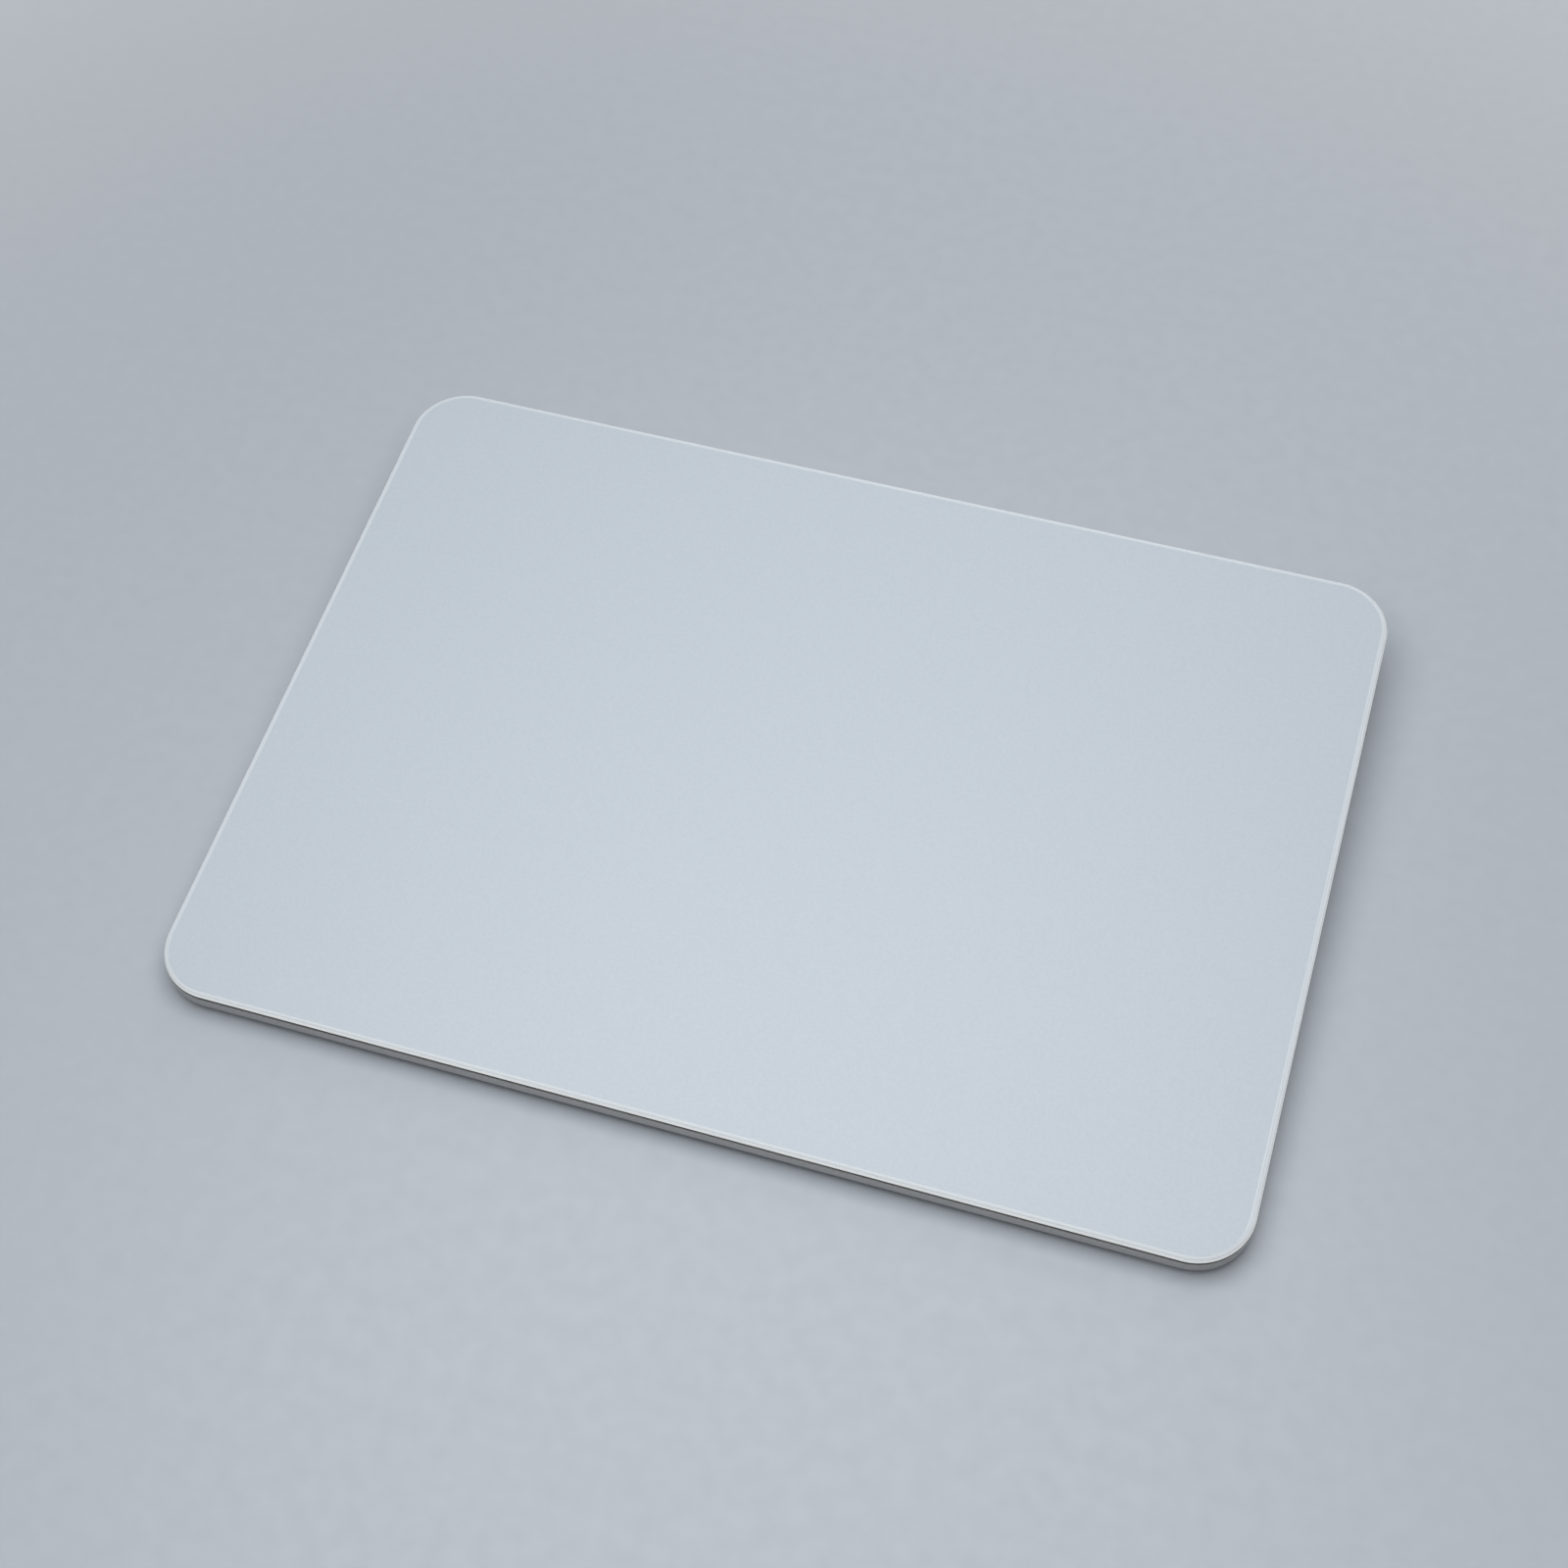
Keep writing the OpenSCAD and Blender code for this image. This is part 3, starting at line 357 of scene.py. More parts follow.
# Machined and blackened steel: dark with a satin sheen.
SCREW_STEEL = Finish(
    "blackened_machine_steel", "#5A5B5F", "#4C4D51", 0.36, Pattern.GRAIN, 0.1, 0.002, metallic=1.0
)
# Enamelled round wire wound side by side: copper red with a dark line between turns.
WOUND_COPPER = Finish(
    "wound_enamelled_copper", "#C0703A", "#6E3615", 0.3, Pattern.BANDS, 0.16, 0.05, metallic=1.0
)
# Laminated foil pouch: a dull silver with wide soft creases.
FOIL_POUCH = Finish(
    "laminated_aluminium_foil", "#C9CAC8", "#B5B6B5", 0.38, Pattern.CREASE, 9.0, 0.08, metallic=0.8
)
# Rolled nickel strip: a warm grey metal.
NICKEL_STRIP = Finish("rolled_nickel", "#C4BFB5", "#AFAAA0", 0.3, Pattern.STREAK, 0.15, 0.002, metallic=1.0)
# Tinned and folded sheet: bright with a soft mottle.
TINNED_SHEET = Finish(
    "folded_tin_plate", "#CDCFD1", "#BDBFC1", 0.3, Pattern.CREASE, 1.6, 0.004, metallic=1.0
)
# Moulded nylon: cream and waxy.
CREAM_NYLON = Finish("moulded_nylon", "#DED8C6", "#D5CEBA", 0.45, Pattern.GRAIN, 0.25, 0.005, ior=1.53)
# Clear pressure-sensitive film: pale with a low gloss.
CLEAR_FILM = Finish("acrylic_adhesive_film", "#E2DED3", "#DAD6CA", 0.4, Pattern.CREASE, 5.0, 0.01, ior=1.47)
# Sprayed satin paint on a flat board: an even pale blue-grey with a low, broad sheen.
FLOOR_PAINT = Finish("sprayed_satin_paint", "#BBC2CB", "#B8BFC8", 0.4, Pattern.GRAIN, 3.0)


class Element(Enum):
    """What is selected in edit mode."""

    EDGE = "EDGE"
    FACE = "FACE"


def apply_placing() -> None:
    """Put the place and turn of the selected pieces into their meshes."""
    bpy.ops.object.transform_apply(location=True, rotation=True, scale=True)


def join(pieces: list[bpy.types.Object]) -> bpy.types.Object:
    """Join pieces into the first of them.

    Args:
        pieces: What is joined.

    Returns:
        The first piece, which now holds them all.
    """
    bpy.ops.object.select_all(action="DESELECT")
    for piece in pieces:
        piece.select_set(True)
    bpy.context.view_layer.objects.active = pieces[0]
    bpy.ops.object.join()
    return pieces[0]


def start_block(name: str, low: Vector, high: Vector) -> bpy.types.Object:
    """Add a block between two corners, as the start of a piece.

    Args:
        name: Name of the piece.
        low: Lowest corner.
        high: Highest corner.

    Returns:
        The new object, at the origin with its place in its mesh.
    """
    bpy.ops.object.select_all(action="DESELECT")
    bpy.ops.mesh.primitive_cube_add(size=1.0, location=(low + high) / 2, scale=high - low)
    piece = bpy.context.object
    piece.name = name
    apply_placing()
    return piece


@contextmanager
def editing(piece: bpy.types.Object) -> Iterator[None]:
    """Hold one piece in edit mode.

    Args:
        piece: Mesh object to edit.
    """
    bpy.ops.object.select_all(action="DESELECT")
    piece.select_set(True)
    bpy.context.view_layer.objects.active = piece
    bpy.ops.object.mode_set(mode="EDIT")
    try:
        yield
    finally:
        bpy.ops.object.mode_set(mode="OBJECT")


def pick(piece: bpy.types.Object, element: Element, test: Callable[[object], bool]) -> None:
    """Select just the edges or faces that pass a test, in edit mode.

    Args:
        piece: Object in edit mode.
        element: What is selected.
        test: Tells if one edge or face is wanted.
    """
    bpy.ops.mesh.select_mode(type=element.value)
    bpy.ops.mesh.select_all(action="DESELECT")
    mesh = bmesh.from_edit_mesh(piece.data)
    for one in list(mesh.edges if element is Element.EDGE else mesh.faces):
        if test(one):
            one.select_set(True)
    bmesh.update_edit_mesh(piece.data)


def level_edge(z: float) -> Callable[[object], bool]:
    """Give a test for edges that lie flat at one height.

    Args:
        z: Height of the edges.

    Returns:
        The test.
    """
    return lambda edge: all(abs(v.co.z - z) < SAME_PLACE for v in edge.verts)


def upright_edge(edge: object) -> bool:
    """Tell if an edge stands along Z.

    Args:
        edge: Edge of a piece in edit mode.

    Returns:
        True if it does.
    """
    way = edge.verts[1].co - edge.verts[0].co
    return abs(way.z) > ALONG_AXIS * way.length


def dress(nodes: dict[str, Finish]) -> None:
    """Give each solid its finish.

    Args:
        nodes: Finish of each solid, by the node's name.
    """
    for name, finish in nodes.items():
        for slot in frame["nodes"][name].material_slots:
            slot.material = finish.material()
        LOG.info("dressed %s in %s", name, finish.name)


def press_axis() -> Vector:
    """Look up the direction that the touch plate is pressed along.

    Returns:
        Unit vector square to the plate.
    """
    return Vector(next(j["axis"] for j in frame["joints"] if j["name"] == PRESS)).normalized()


def press_tilt() -> float:
    """Work out the slope of the touch plate from the axis that it is pressed along.

    Returns:
        Angle about X in radians.
    """
    axis = press_axis()
    return math.atan2(-axis.y, axis.z)


@dataclass
class TouchPlate:
    """The sprung touch plate: glass, film, sensor board, stiffener, chips and the bar that the drive pulls.

    Attributes:
        glass_t: Thickness of the glass.
        corner_r: Radius of its corners.
        edge_r: Radius of its upper edge.
        arris: Width of the small chamfer along its lower edge.
        margin: Polished margin between the upper edge and the etched face.
        etch_end_deg: Slope of the front edge where the etch ends, so that the painted highlight of the rim
            starts lower there.
        etch_turn_deg: Turn round a front corner over which that end runs back to the face.
        zones: Finishes of the edge from the face down, each with the slope in degrees where it ends; they
            carry the rim's painted highlight and painted glow.
    """

    glass_t: float = 1.1 * MM
    corner_r: float = 8.5 * MM
    edge_r: float = 0.8 * MM
    arris: float = 0.1 * MM
    margin: float = 0.12 * MM
    etch_end_deg: float = 18.0
    etch_turn_deg: float = 75.0
    # The edge zones hold the rim's painted highlight and painted glow; past them comes the painted seam
    # shade.
    zones: tuple[tuple[float, Finish], ...] = (
        (22.5, POLISHED_RIM_PAINTED_HIGHLIGHT),
        (60.0, GROUND_BAND_PAINTED_GLOW),
        (95.0, GROUND_SIDE_PAINTED_GLOW),
    )

    CORNER_STEPS = 28
    EDGE_STEPS = 12

    def half_size(self) -> Vector:
        """Work out half the width and depth of the glass from the frame that it covers.

        Returns:
            Half the width and half the depth along the slope.
        """
        low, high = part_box("case_frame")
        return Vector(((high.x - low.x) / 2, (high.y - low.y) / 2 / math.cos(press_tilt()), 0.0))

    def build_glass(self) -> bpy.types.Object:
        """Model the glass flat with its face at height 0, then lay it on the slope.

        Returns:
            The glass, in place.
        """
        half = self.half_size()
        tilt = press_tilt()
        glass = start_block("glass_plate", Vector((-half.x, -half.y, -self.glass_t)), half)
        with editing(glass):
            pick(glass, Element.EDGE, upright_edge)
            bpy.ops.mesh.bevel(offset=self.corner_r, segments=self.CORNER_STEPS, affect="EDGES")
            pick(glass, Element.EDGE, level_edge(0.0))
            bpy.ops.mesh.bevel(offset=self.edge_r, segments=self.EDGE_STEPS, affect="EDGES")
            pick(glass, Element.EDGE, level_edge(-self.glass_t))
            bpy.ops.mesh.bevel(offset=self.arris, segments=1, affect="EDGES")
            self.frame_face(glass)
        self.dress_glass(glass)
        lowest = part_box("touch_glass")[0].z
        glass.rotation_euler.x = tilt
        glass.location.z = lowest + half.y * math.sin(tilt) + self.glass_t * math.cos(tilt)
        apply_placing()
        return glass

    def is_top(self, normal: Vector, area: float) -> bool:
        """Tell the large top face of the glass from its edges.

        Args:
            normal: Normal of a face of the glass, which lies flat.
            area: Area of that face.

        Returns:
            True for the top face.
        """
        return normal.z > FLAT_UP and area > self.corner_r**2

    def frame_face(self, glass: bpy.types.Object) -> None:
        """Cut the etched face free of its polished margin, in edit mode.

        Args:
            glass: The glass, flat with its face at height 0.
        """
        pick(glass, Element.FACE, lambda face: self.is_top(face.normal, face.calc_area()))
        bpy.ops.mesh.inset(thickness=self.margin, depth=0.0)

    def etch_end_at(self, place: Vector, straight: Vector) -> float:
        """Tell how far the etch runs down the edge at one place.

        Args:
            place: Point on the edge of the glass, which lies flat.
            straight: Half the lengths of the straight edges.

        Returns:
            Slope in degrees where the etch ends, 0 where it stops at the margin.
        """
        past_side = max(abs(place.x) - straight.x, 0.0)
        past_front = max(-place.y - straight.y, 0.0)
        if not past_front:
            return 0.0
        turn = math.degrees(math.atan2(past_side, past_front))
        return self.etch_end_deg * max(0.0, 1 - turn / self.etch_turn_deg)

    def finish_of(self, face: bpy.types.MeshPolygon, straight: Vector) -> Finish:
        """Tell the finish of one face of the glass from its size, slope and place.

        Args:
            face: Face of the glass, which lies flat.
            straight: Half the lengths of the straight edges.

        Returns:
            The finish.
        """
        slope = math.degrees(face.normal.angle(Vector((0.0, 0.0, 1.0))))
        if self.is_top(face.normal, face.area) or slope < self.etch_end_at(face.center, straight):
            return ETCHED_GLASS
        return next((finish for end, finish in self.zones if slope < end), PAINTED_SEAM_SHADE)

    def dress_glass(self, glass: bpy.types.Object) -> None:
        """Give the face, the zones of the edge and the back of the glass their finishes, with the painted
        highlight, glow and seam shade among them.

        Args:
            glass: The glass, flat with its face at height 0.
        """
        finishes = [ETCHED_GLASS, POLISHED_RIM_PAINTED_HIGHLIGHT, GROUND_BAND_PAINTED_GLOW, GROUND_SIDE_PAINTED_GLOW, PAINTED_SEAM_SHADE]
        for finish in finishes:
            glass.data.materials.append(finish.material())
        straight = self.half_size() - Vector((self.corner_r, self.corner_r, 0.0))
        for face in glass.data.polygons:
            face.material_index = finishes.index(self.finish_of(face, straight))
        bpy.ops.object.shade_smooth_by_angle(angle=SMOOTH_ANGLE)
        bpy.ops.object.modifier_add(type="WEIGHTED_NORMAL")
        bpy.ops.object.modifier_apply(modifier=glass.modifiers[-1].name)

    def build(self) -> None:
        """Make the glass and dress the layers under it."""
        glass = self.build_glass()
        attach(glass, TOUCH_MODULE)
        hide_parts("touch_glass")
        LOG.info("modelled %s", glass.name)
        dress({
            "glass_film": CLEAR_FILM,
            "sensor_board": SOLDER_MASK,
            "stiffener_plate": ROLLED_STEEL,
            "touch_controllers": CHIP_RESIN,
            "attraction_bar": LAMINATED_IRON,
        })


@dataclass
class Case:
    """The frame, its base plate and what the pad stands on."""

    def build(self) -> None:
        """Dress the frame, the base, its gasket and the feet."""
        dress({"case_frame": BLASTED_ALUMINIUM, "bottom_cover": TEXTURED_PLASTIC})
        dress({"cover_gasket": FOAM_TAPE})
        dress({f"foot_{corner}": FOOT_RUBBER for corner in CORNERS})


@dataclass
class Suspension:
    """What the touch plate floats on: flexures, gel pads, strain gauges and screws.

    Attributes:
        gel_d: Diameter of a gel pad.
        gel_t: Thickness of a gel pad that isn't pressed.
        gel_edge_r: Radius of its rims.
        slack: What a pad gives way beyond the plate's travel; not used.
    """

    gel_d: float = 5.0 * MM
    gel_t: float = 0.85 * MM
    gel_edge_r: float = 0.2 * MM
    slack: float = 0.01 * MM

    RIM_POINTS = 48
    RIM_STEPS = 4

    def build_pad(self) -> bpy.types.Object:
        """Model one gel pad flat on the origin, with soft rims.

        Returns:
            The pad.
        """
        bpy.ops.object.select_all(action="DESELECT")
        size = {"radius": self.gel_d / 2, "depth": self.gel_t}
        bpy.ops.mesh.primitive_cylinder_add(vertices=self.RIM_POINTS, **size)
        pad = bpy.context.object
        pad.name = "gel_pads"
        for height in (-self.gel_t / 2, self.gel_t / 2):
            with editing(pad):
                pick(pad, Element.EDGE, level_edge(height))
                bpy.ops.mesh.bevel(offset=self.gel_edge_r, segments=self.RIM_STEPS, affect="EDGES")
        bpy.ops.object.shade_smooth_by_angle(angle=SMOOTH_ANGLE)
        pad.data.materials.append(GEL_RUBBER.material())
        return pad

    def pad_places(self) -> list[Vector]:
        """Work out the middles of the four gel pads from the box round them.

        Returns:
            The four middles.
        """
        low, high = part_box("isolator_pads")
        tilt = press_tilt()
        reach = self.gel_d / 2
        inset_y = reach * math.cos(tilt) + self.gel_t / 2 * math.sin(tilt)
        inset_z = reach * math.sin(tilt) + self.gel_t / 2 * math.cos(tilt)
        ends = ((low.y + inset_y, low.z + inset_z), (high.y - inset_y, high.z - inset_z))
        return [Vector((x, y, z)) for y, z in ends for x in (low.x + reach, high.x - reach)]

    def build_pads(self) -> None:
        """Copy the pad to the four flexures."""
        first = self.build_pad()
        pads = [first]
        for _ in range(len(CORNERS) - 1):
            bpy.ops.object.duplicate(linked=False)
            pads.append(bpy.context.object)
        for pad, place in zip(pads, self.pad_places(), strict=True):
            pad.rotation_euler.x = press_tilt()
            pad.location = place
        gel = join(pads)
        apply_placing()
        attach(gel, SUSPENSION)
        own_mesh(gel)
        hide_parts("isolator_pads")
        LOG.info("modelled %s", gel.name)

    def build(self) -> None:
        """Make the gel pads and dress the rest."""
        self.build_pads()
        dress({f"flexure_{corner}": SPRING_STEEL for corner in CORNERS})
        dress({"strain_gauges": FLEX_FILM, "flexure_screws": SCREW_STEEL})


@dataclass
class HapticDrive:
    """The two-sided magnet that shakes the plate."""

    def build(self) -> None:
        """Dress the drive."""
        for side in SIDES:
            dress({f"core_{side}": LAMINATED_IRON, f"coil_{side}": WOUND_COPPER})
        dress({"actuator_bracket": ROLLED_STEEL, "actuator_screws": SCREW_STEEL})
        dress({"actuator_lead": FLEX_FILM})


@dataclass
class BatteryPack:
    """Two pouch cells and their guard circuit."""

    def build(self) -> None:
        """Dress the pack."""
        dress({f"battery_cell_{side}": FOIL_POUCH for side in SIDES})
        dress({"battery_tape": CLEAR_FILM, "battery_board": SOLDER_MASK})
        dress({"battery_tabs": NICKEL_STRIP, "battery_lead": FLEX_FILM})


@dataclass
class LogicBoard:
    """The main board and what is soldered or plugged to it."""

    def build(self) -> None:
        """Dress the board."""
        dress({
            "logic_board": SOLDER_MASK,
            "main_shield": TINNED_SHEET,
            "radio_shield": TINNED_SHEET,
            "board_chips": CHIP_RESIN,
            "board_plugs": CREAM_NYLON,
            "board_screws": SCREW_STEEL,
            "antenna": CREAM_NYLON,
            "ribbon_connector": CREAM_NYLON,
        })


@dataclass
class SensorRibbon:
    """The flat lead that folds down from the sensor board to the logic board.

    Attributes:
        film_t: Thickness of the lead.
        lap: Length that is bonded under the sensor board.
        fold: Reach of the fold beyond the lap.
        entry_shift: How far behind the end of the lap the lead goes into its connector.
        fold_shares: Heights of the top and the foot of the fold and of the way in, as shares of the drop.
        fold_cut: How much each fold takes off the legs beside it.
    """

    film_t: float = 0.12 * MM
    lap: float = 5.0 * MM
    fold: float = 2.0 * MM
    entry_shift: float = 0.6 * MM
    fold_shares: tuple[float, float, float] = (0.65, 0.5, 0.2)
    fold_cut: float = 0.28 * MM

    FOLD_STEPS = 5

    def route(self) -> list[Vector]:
        """Work out the middle line of the lead, from its bonded end to its plugged end.

        Returns:
            The points of the line, in the middle of the lead's width.
        """
        low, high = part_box("sensor_ribbon")
        tilt = press_tilt()
        x = (low.x + high.x) / 2
        end_y = high.y - self.film_t / 2 * math.sin(tilt)
        end_z = high.z - self.film_t / 2 * math.cos(tilt)
        lap_y, lap_z = end_y - self.lap, end_z - self.lap * math.tan(tilt)
        plug_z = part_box("ribbon_connector")[1].z
        top, foot, entry = (plug_z + share * (lap_z - plug_z) for share in self.fold_shares)
        fold_y, entry_y = lap_y - self.fold, lap_y + self.entry_shift
        bonded = ((end_y, end_z), (lap_y, lap_z))
        folded = ((fold_y, top), (fold_y, foot))
        plugged = ((entry_y, entry), (entry_y, low.z))
        return [Vector((x, y, z)) for y, z in bonded + folded + plugged]

    def build_strip(self) -> bpy.types.Object:
        """Model the lead: one edge drawn out along the route, softened at the folds and thickened.

        Returns:
            The lead.
        """
        low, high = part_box("sensor_ribbon")
        points = self.route()
        middle = (points[0] + points[1]) / 2
        bpy.ops.object.select_all(action="DESELECT")
        bpy.ops.mesh.primitive_plane_add(size=1.0)
        strip = bpy.context.object
        strip.name = "sensor_lead"
        strip.scale = (high.x - low.x, (points[1] - points[0]).length, 1.0)
        strip.rotation_euler.x = press_tilt()
        strip.location = middle
        apply_placing()
        with editing(strip):
            pick(strip, Element.EDGE, lambda edge: all(v.co.y < middle.y for v in edge.verts))
            for start, end in zip(points[1:], points[2:], strict=False):
                bpy.ops.mesh.extrude_region_move(TRANSFORM_OT_translate={"value": tuple(end - start)})
            pick(strip, Element.EDGE, lambda edge: len(edge.link_faces) == 2)
            bpy.ops.mesh.bevel(offset=self.fold_cut, segments=self.FOLD_STEPS, affect="EDGES")
        bpy.ops.object.modifier_add(type="SOLIDIFY")
        strip.modifiers[-1].thickness = self.film_t
        strip.modifiers[-1].offset = 0.0
        bpy.ops.object.modifier_apply(modifier=strip.modifiers[-1].name)
        bpy.ops.object.shade_smooth_by_angle(angle=SMOOTH_ANGLE)
        strip.data.materials.append(FLEX_FILM.material())
        return strip

    def build(self) -> None:
        """Make the lead in place of the imported one."""
        strip = self.build_strip()
        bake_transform(strip)
        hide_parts("sensor_ribbon")
        LOG.info("modelled %s", strip.name)


@dataclass
class ChargingSocket:
    """The charging socket in the back wall, with contacts on both faces of its tongue.

    Attributes:
        contacts: Number of contacts on one face.
        pitch: Distance from one contact to the next.
        contact_w: Width of a contact.
        contact_l: Length of a contact.
        proud: Height of a contact over the tongue.
        sunk: Depth of a contact in the tongue.
        end_gap: Bare tongue in front of the contacts.
        plate_t: Thickness of the tongue.
    """

    contacts: int = 12
    pitch: float = 0.5 * MM
    contact_w: float = 0.25 * MM
    contact_l: float = 3.4 * MM
    proud: float = 0.03 * MM
    sunk: float = 0.03 * MM
    end_gap: float = 0.5 * MM
    plate_t: float = 0.7 * MM

    NOSE_SHARE = 0.45
    NOSE_STEPS = 4

    def build_row(self) -> bpy.types.Object:
        """Model one contact strip with a rounded nose and repeat it over the tongue's upper face.

        Returns:
            The row of contacts.
        """
        low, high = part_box("socket_tongue")
        surface = (low.z + high.z) / 2 + self.plate_t / 2
        nose = high.y - self.end_gap
        first = -(self.contacts - 1) / 2 * self.pitch
        near = Vector((first - self.contact_w / 2, nose - self.contact_l, surface - self.sunk))
        far = Vector((first + self.contact_w / 2, nose, surface + self.proud))
        row = start_block("socket_contacts", near, far)
        with editing(row):
            pick(row, Element.EDGE, upright_edge)
            nose_r = self.contact_w * self.NOSE_SHARE
            bpy.ops.mesh.bevel(offset=nose_r, segments=self.NOSE_STEPS, affect="EDGES")
        bpy.ops.object.modifier_add(type="ARRAY")
        repeat = row.modifiers[-1]
        repeat.count = self.contacts
        repeat.use_relative_offset = False
        repeat.use_constant_offset = True
        repeat.constant_offset_displace = (self.pitch, 0.0, 0.0)
        bpy.ops.object.modifier_apply(modifier=repeat.name)
        row.data.materials.append(GOLD_PLATE.material())
        return row

    def turn_copy(self, row: bpy.types.Object) -> bpy.types.Object:
        """Copy the row to the tongue's lower face by half a turn about the tongue.

        Args:
            row: The row on the upper face.

        Returns:
            The copy.
        """
        low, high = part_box("socket_tongue")
        bpy.ops.object.duplicate(linked=False)
        copy = bpy.context.object
        copy.rotation_euler.y = math.pi
        copy.location.z = low.z + high.z
        apply_placing()
        return copy

    def build(self) -> None:
        """Make the contacts as one piece and dress the socket."""
        row = self.build_row()
        row = join([row, self.turn_copy(row)])
        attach(row, CASE)
        LOG.info("modelled %s", row.name)
        dress({"socket_shell": DRAWN_STEEL, "socket_tongue": SOCKET_RESIN})


@dataclass
class PowerSwitch:
    """The slide switch in the back wall."""

    def build(self) -> None:
        """Dress the switch."""
        dress({"switch_body": CHIP_RESIN, "switch_knob": KNOB_PLASTIC})
        dress({"switch_indicator": INDICATOR_FILM})


@dataclass(frozen=True)
class SoftLamp:
    """A round soft lamp that faces the pad.

    Attributes:
        name: What the lamp is for.
        place: Middle of the lamp.
        width: Width of its face.
        power: Power in watts.
    """

    name: str
    place: tuple[float, float, float]
    width: float
    power: float

    def build(self) -> None:
        """Hang the lamp and turn its face to the pad."""
        bpy.ops.object.light_add(type="AREA", location=self.place)
        lamp = bpy.context.object
        lamp.name = self.name
        lamp.rotation_euler = Vector(self.place).to_track_quat("Z", "Y").to_euler()
        lamp.data.shape = "DISK"
        lamp.data.size = self.width
        lamp.data.energy = self.power
        lamp.visible_camera = False


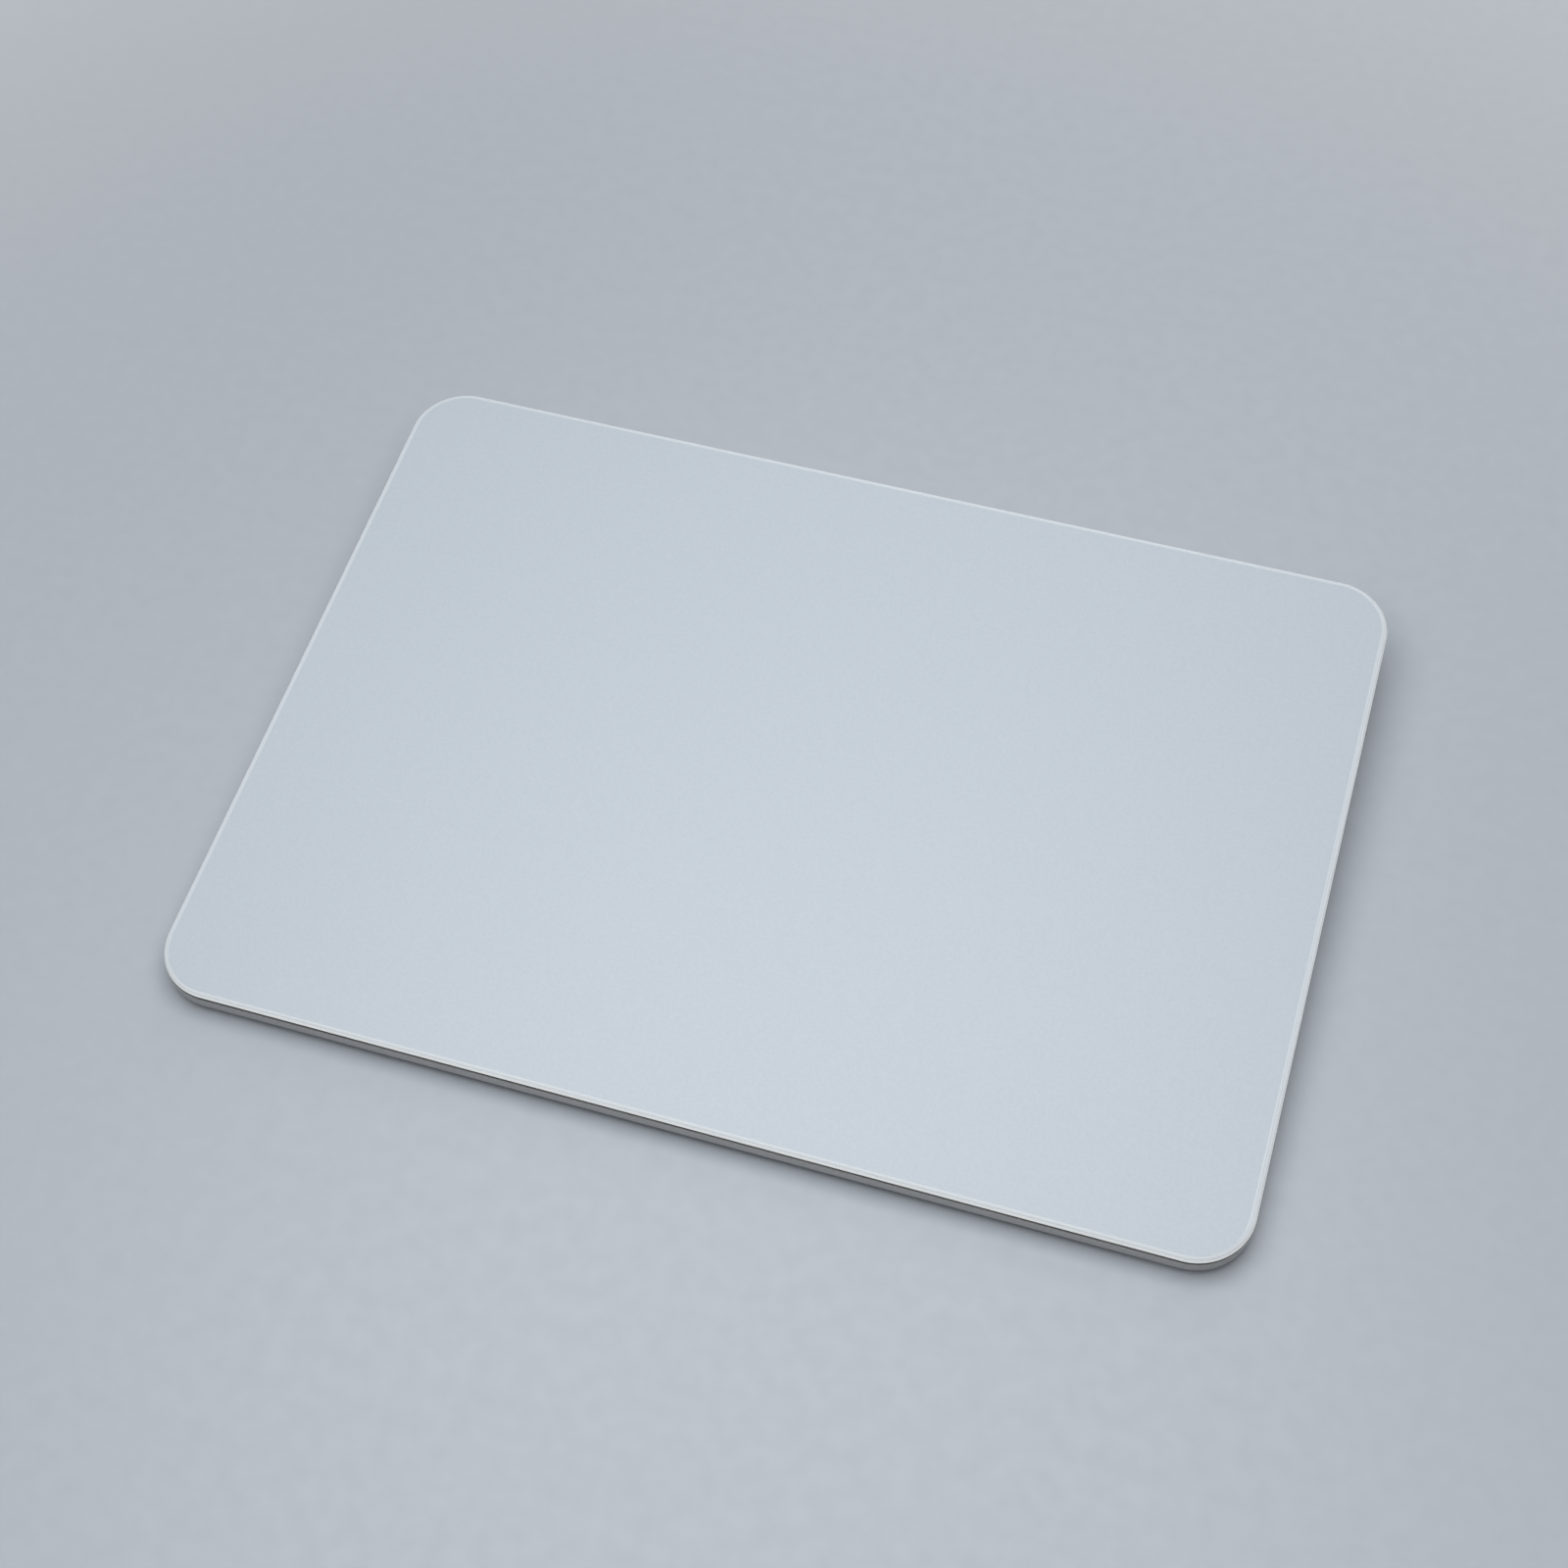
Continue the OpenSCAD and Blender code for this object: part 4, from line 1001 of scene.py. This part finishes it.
@dataclass
class Stage:
    """Floor, light and camera.

    Attributes:
        floor_w: Width of the floor.
        fade_start: Distance from the pad where the floor starts to fade into the backdrop.
        fade_end: Distance where only the backdrop is left.
        fill: Strength of the even light from all round.
        backdrop: sRGB hex of the background behind the floor.
        lamps: The soft lamps.
        target: Point that the camera looks at.
        distance: Distance from that point to the camera.
        azimuth_deg: Turn of the camera to the right of the pad's front.
        elevation_deg: Height of the camera over the horizon.
        roll_deg: Turn of the camera about its own axis.
        lens_mm: Focal length on the sensor below.
        sensor_mm: Width of the sensor.
    """

    floor_w: float = 6.0
    fade_start: float = 0.05
    fade_end: float = 0.45
    fill: float = 0.24
    backdrop: str = "#D4D9DE"
    lamps: tuple[SoftLamp, ...] = (
        SoftLamp("top_light", (-0.005, -0.03, 0.28), 0.33, 0.7),
        SoftLamp("back_light", (0.02, 0.5, 0.35), 0.5, 0.46),
    )
    target: Vector = Vector((-0.99 * MM, -1.09 * MM, 7.9 * MM))
    distance: float = 380.5 * MM
    azimuth_deg: float = 19.12
    elevation_deg: float = 55.50
    roll_deg: float = -2.44
    lens_mm: float = 58.7
    sensor_mm: float = 36.0

    def build_floor(self) -> None:
        """Lay a plain pale floor under the feet."""
        bpy.ops.object.select_all(action="DESELECT")
        bpy.ops.mesh.primitive_plane_add(size=self.floor_w, location=(0.0, 0.0, 0.0))
        floor = bpy.context.object
        floor.name = "floor"
        floor.data.materials.append(FLOOR_PAINT.material())
        self.fade_floor(floor)

    def fade_floor(self, floor: bpy.types.Object) -> None:
        """Let the camera see the floor fade into the backdrop, as a studio sweep does.

        Args:
            floor: The floor, with its paint on.
        """
        tree = floor.active_material.node_tree
        paint = next(node for node in tree.nodes if node.type == "BSDF_PRINCIPLED")
        output = next(node for node in tree.nodes if node.type == "OUTPUT_MATERIAL")
        place = add_node(tree, "ShaderNodeTexCoord").outputs["Object"]
        reach = add_node(tree, "ShaderNodeVectorMath", {0: place}, operation="LENGTH").outputs["Value"]
        span = {"Value": reach, "From Min": self.fade_start, "From Max": self.fade_end}
        far = add_node(tree, "ShaderNodeMapRange", span, interpolation_type="SMOOTHSTEP").outputs["Result"]
        seen = add_node(tree, "ShaderNodeLightPath").outputs["Is Camera Ray"]
        share = add_node(tree, "ShaderNodeMath", {0: far, 1: seen}, operation="MULTIPLY").outputs[0]
        sweep = add_node(tree, "ShaderNodeEmission", {"Color": linear(self.backdrop)})
        both = {0: share, 1: paint.outputs[0], 2: sweep.outputs[0]}
        mixed = add_node(tree, "ShaderNodeMixShader", both)
        tree.links.new(mixed.outputs[0], output.inputs["Surface"])

    def build_light(self) -> None:
        """Hang the lamps and fill in from all round."""
        for lamp in self.lamps:
            lamp.build()
        world = bpy.data.worlds.new("soft_studio")
        bpy.context.scene.world = world
        world.use_nodes = True
        tree = world.node_tree
        tree.nodes.clear()
        lit = add_node(tree, "ShaderNodeBackground", {"Strength": self.fill})
        seen = add_node(tree, "ShaderNodeBackground", {"Color": linear(self.backdrop)})
        ray = add_node(tree, "ShaderNodeLightPath").outputs
        direct = {0: ray["Is Camera Ray"], 1: ray["Is Glossy Ray"]}
        shown = add_node(tree, "ShaderNodeMath", direct, operation="MAXIMUM").outputs[0]
        through = {0: shown, 1: ray["Is Transmission Ray"]}
        shown = add_node(tree, "ShaderNodeMath", through, operation="MAXIMUM").outputs[0]
        both = {0: shown, 1: lit.outputs[0], 2: seen.outputs[0]}
        mixed = add_node(tree, "ShaderNodeMixShader", both)
        add_node(tree, "ShaderNodeOutputWorld", {"Surface": mixed.outputs[0]})

    def build_camera(self) -> None:
        """Set the camera at the angle that the pad was photographed from."""
        turn, rise = math.radians(self.azimuth_deg), math.radians(self.elevation_deg)
        back = Vector((math.sin(turn) * math.cos(rise), -math.cos(turn) * math.cos(rise), math.sin(rise)))
        bpy.ops.object.camera_add(location=self.target + back * self.distance)
        camera = bpy.context.object
        camera.rotation_mode = "QUATERNION"
        level = (-back).to_track_quat("-Z", "Y")
        camera.rotation_quaternion = level @ Quaternion((0.0, 0.0, 1.0), math.radians(self.roll_deg))
        camera.data.sensor_width = self.sensor_mm
        camera.data.lens = self.lens_mm
        camera.data.clip_start = MM
        bpy.context.scene.camera = camera

    def build(self) -> None:
        """Make the stage."""
        self.build_floor()
        self.build_light()
        self.build_camera()
        bpy.context.scene.view_settings.view_transform = "Standard"


def main() -> None:
    """Build the sub-assemblies in order, then the stage."""
    logging.basicConfig(level=logging.INFO, format="%(name)s: %(message)s")
    parts = (
        TouchPlate(),
        Case(),
        Suspension(),
        HapticDrive(),
        BatteryPack(),
        LogicBoard(),
        SensorRibbon(),
        ChargingSocket(),
        PowerSwitch(),
    )
    for part in parts:
        part.build()
    Stage().build()


if __name__ == "__main__":
    main()
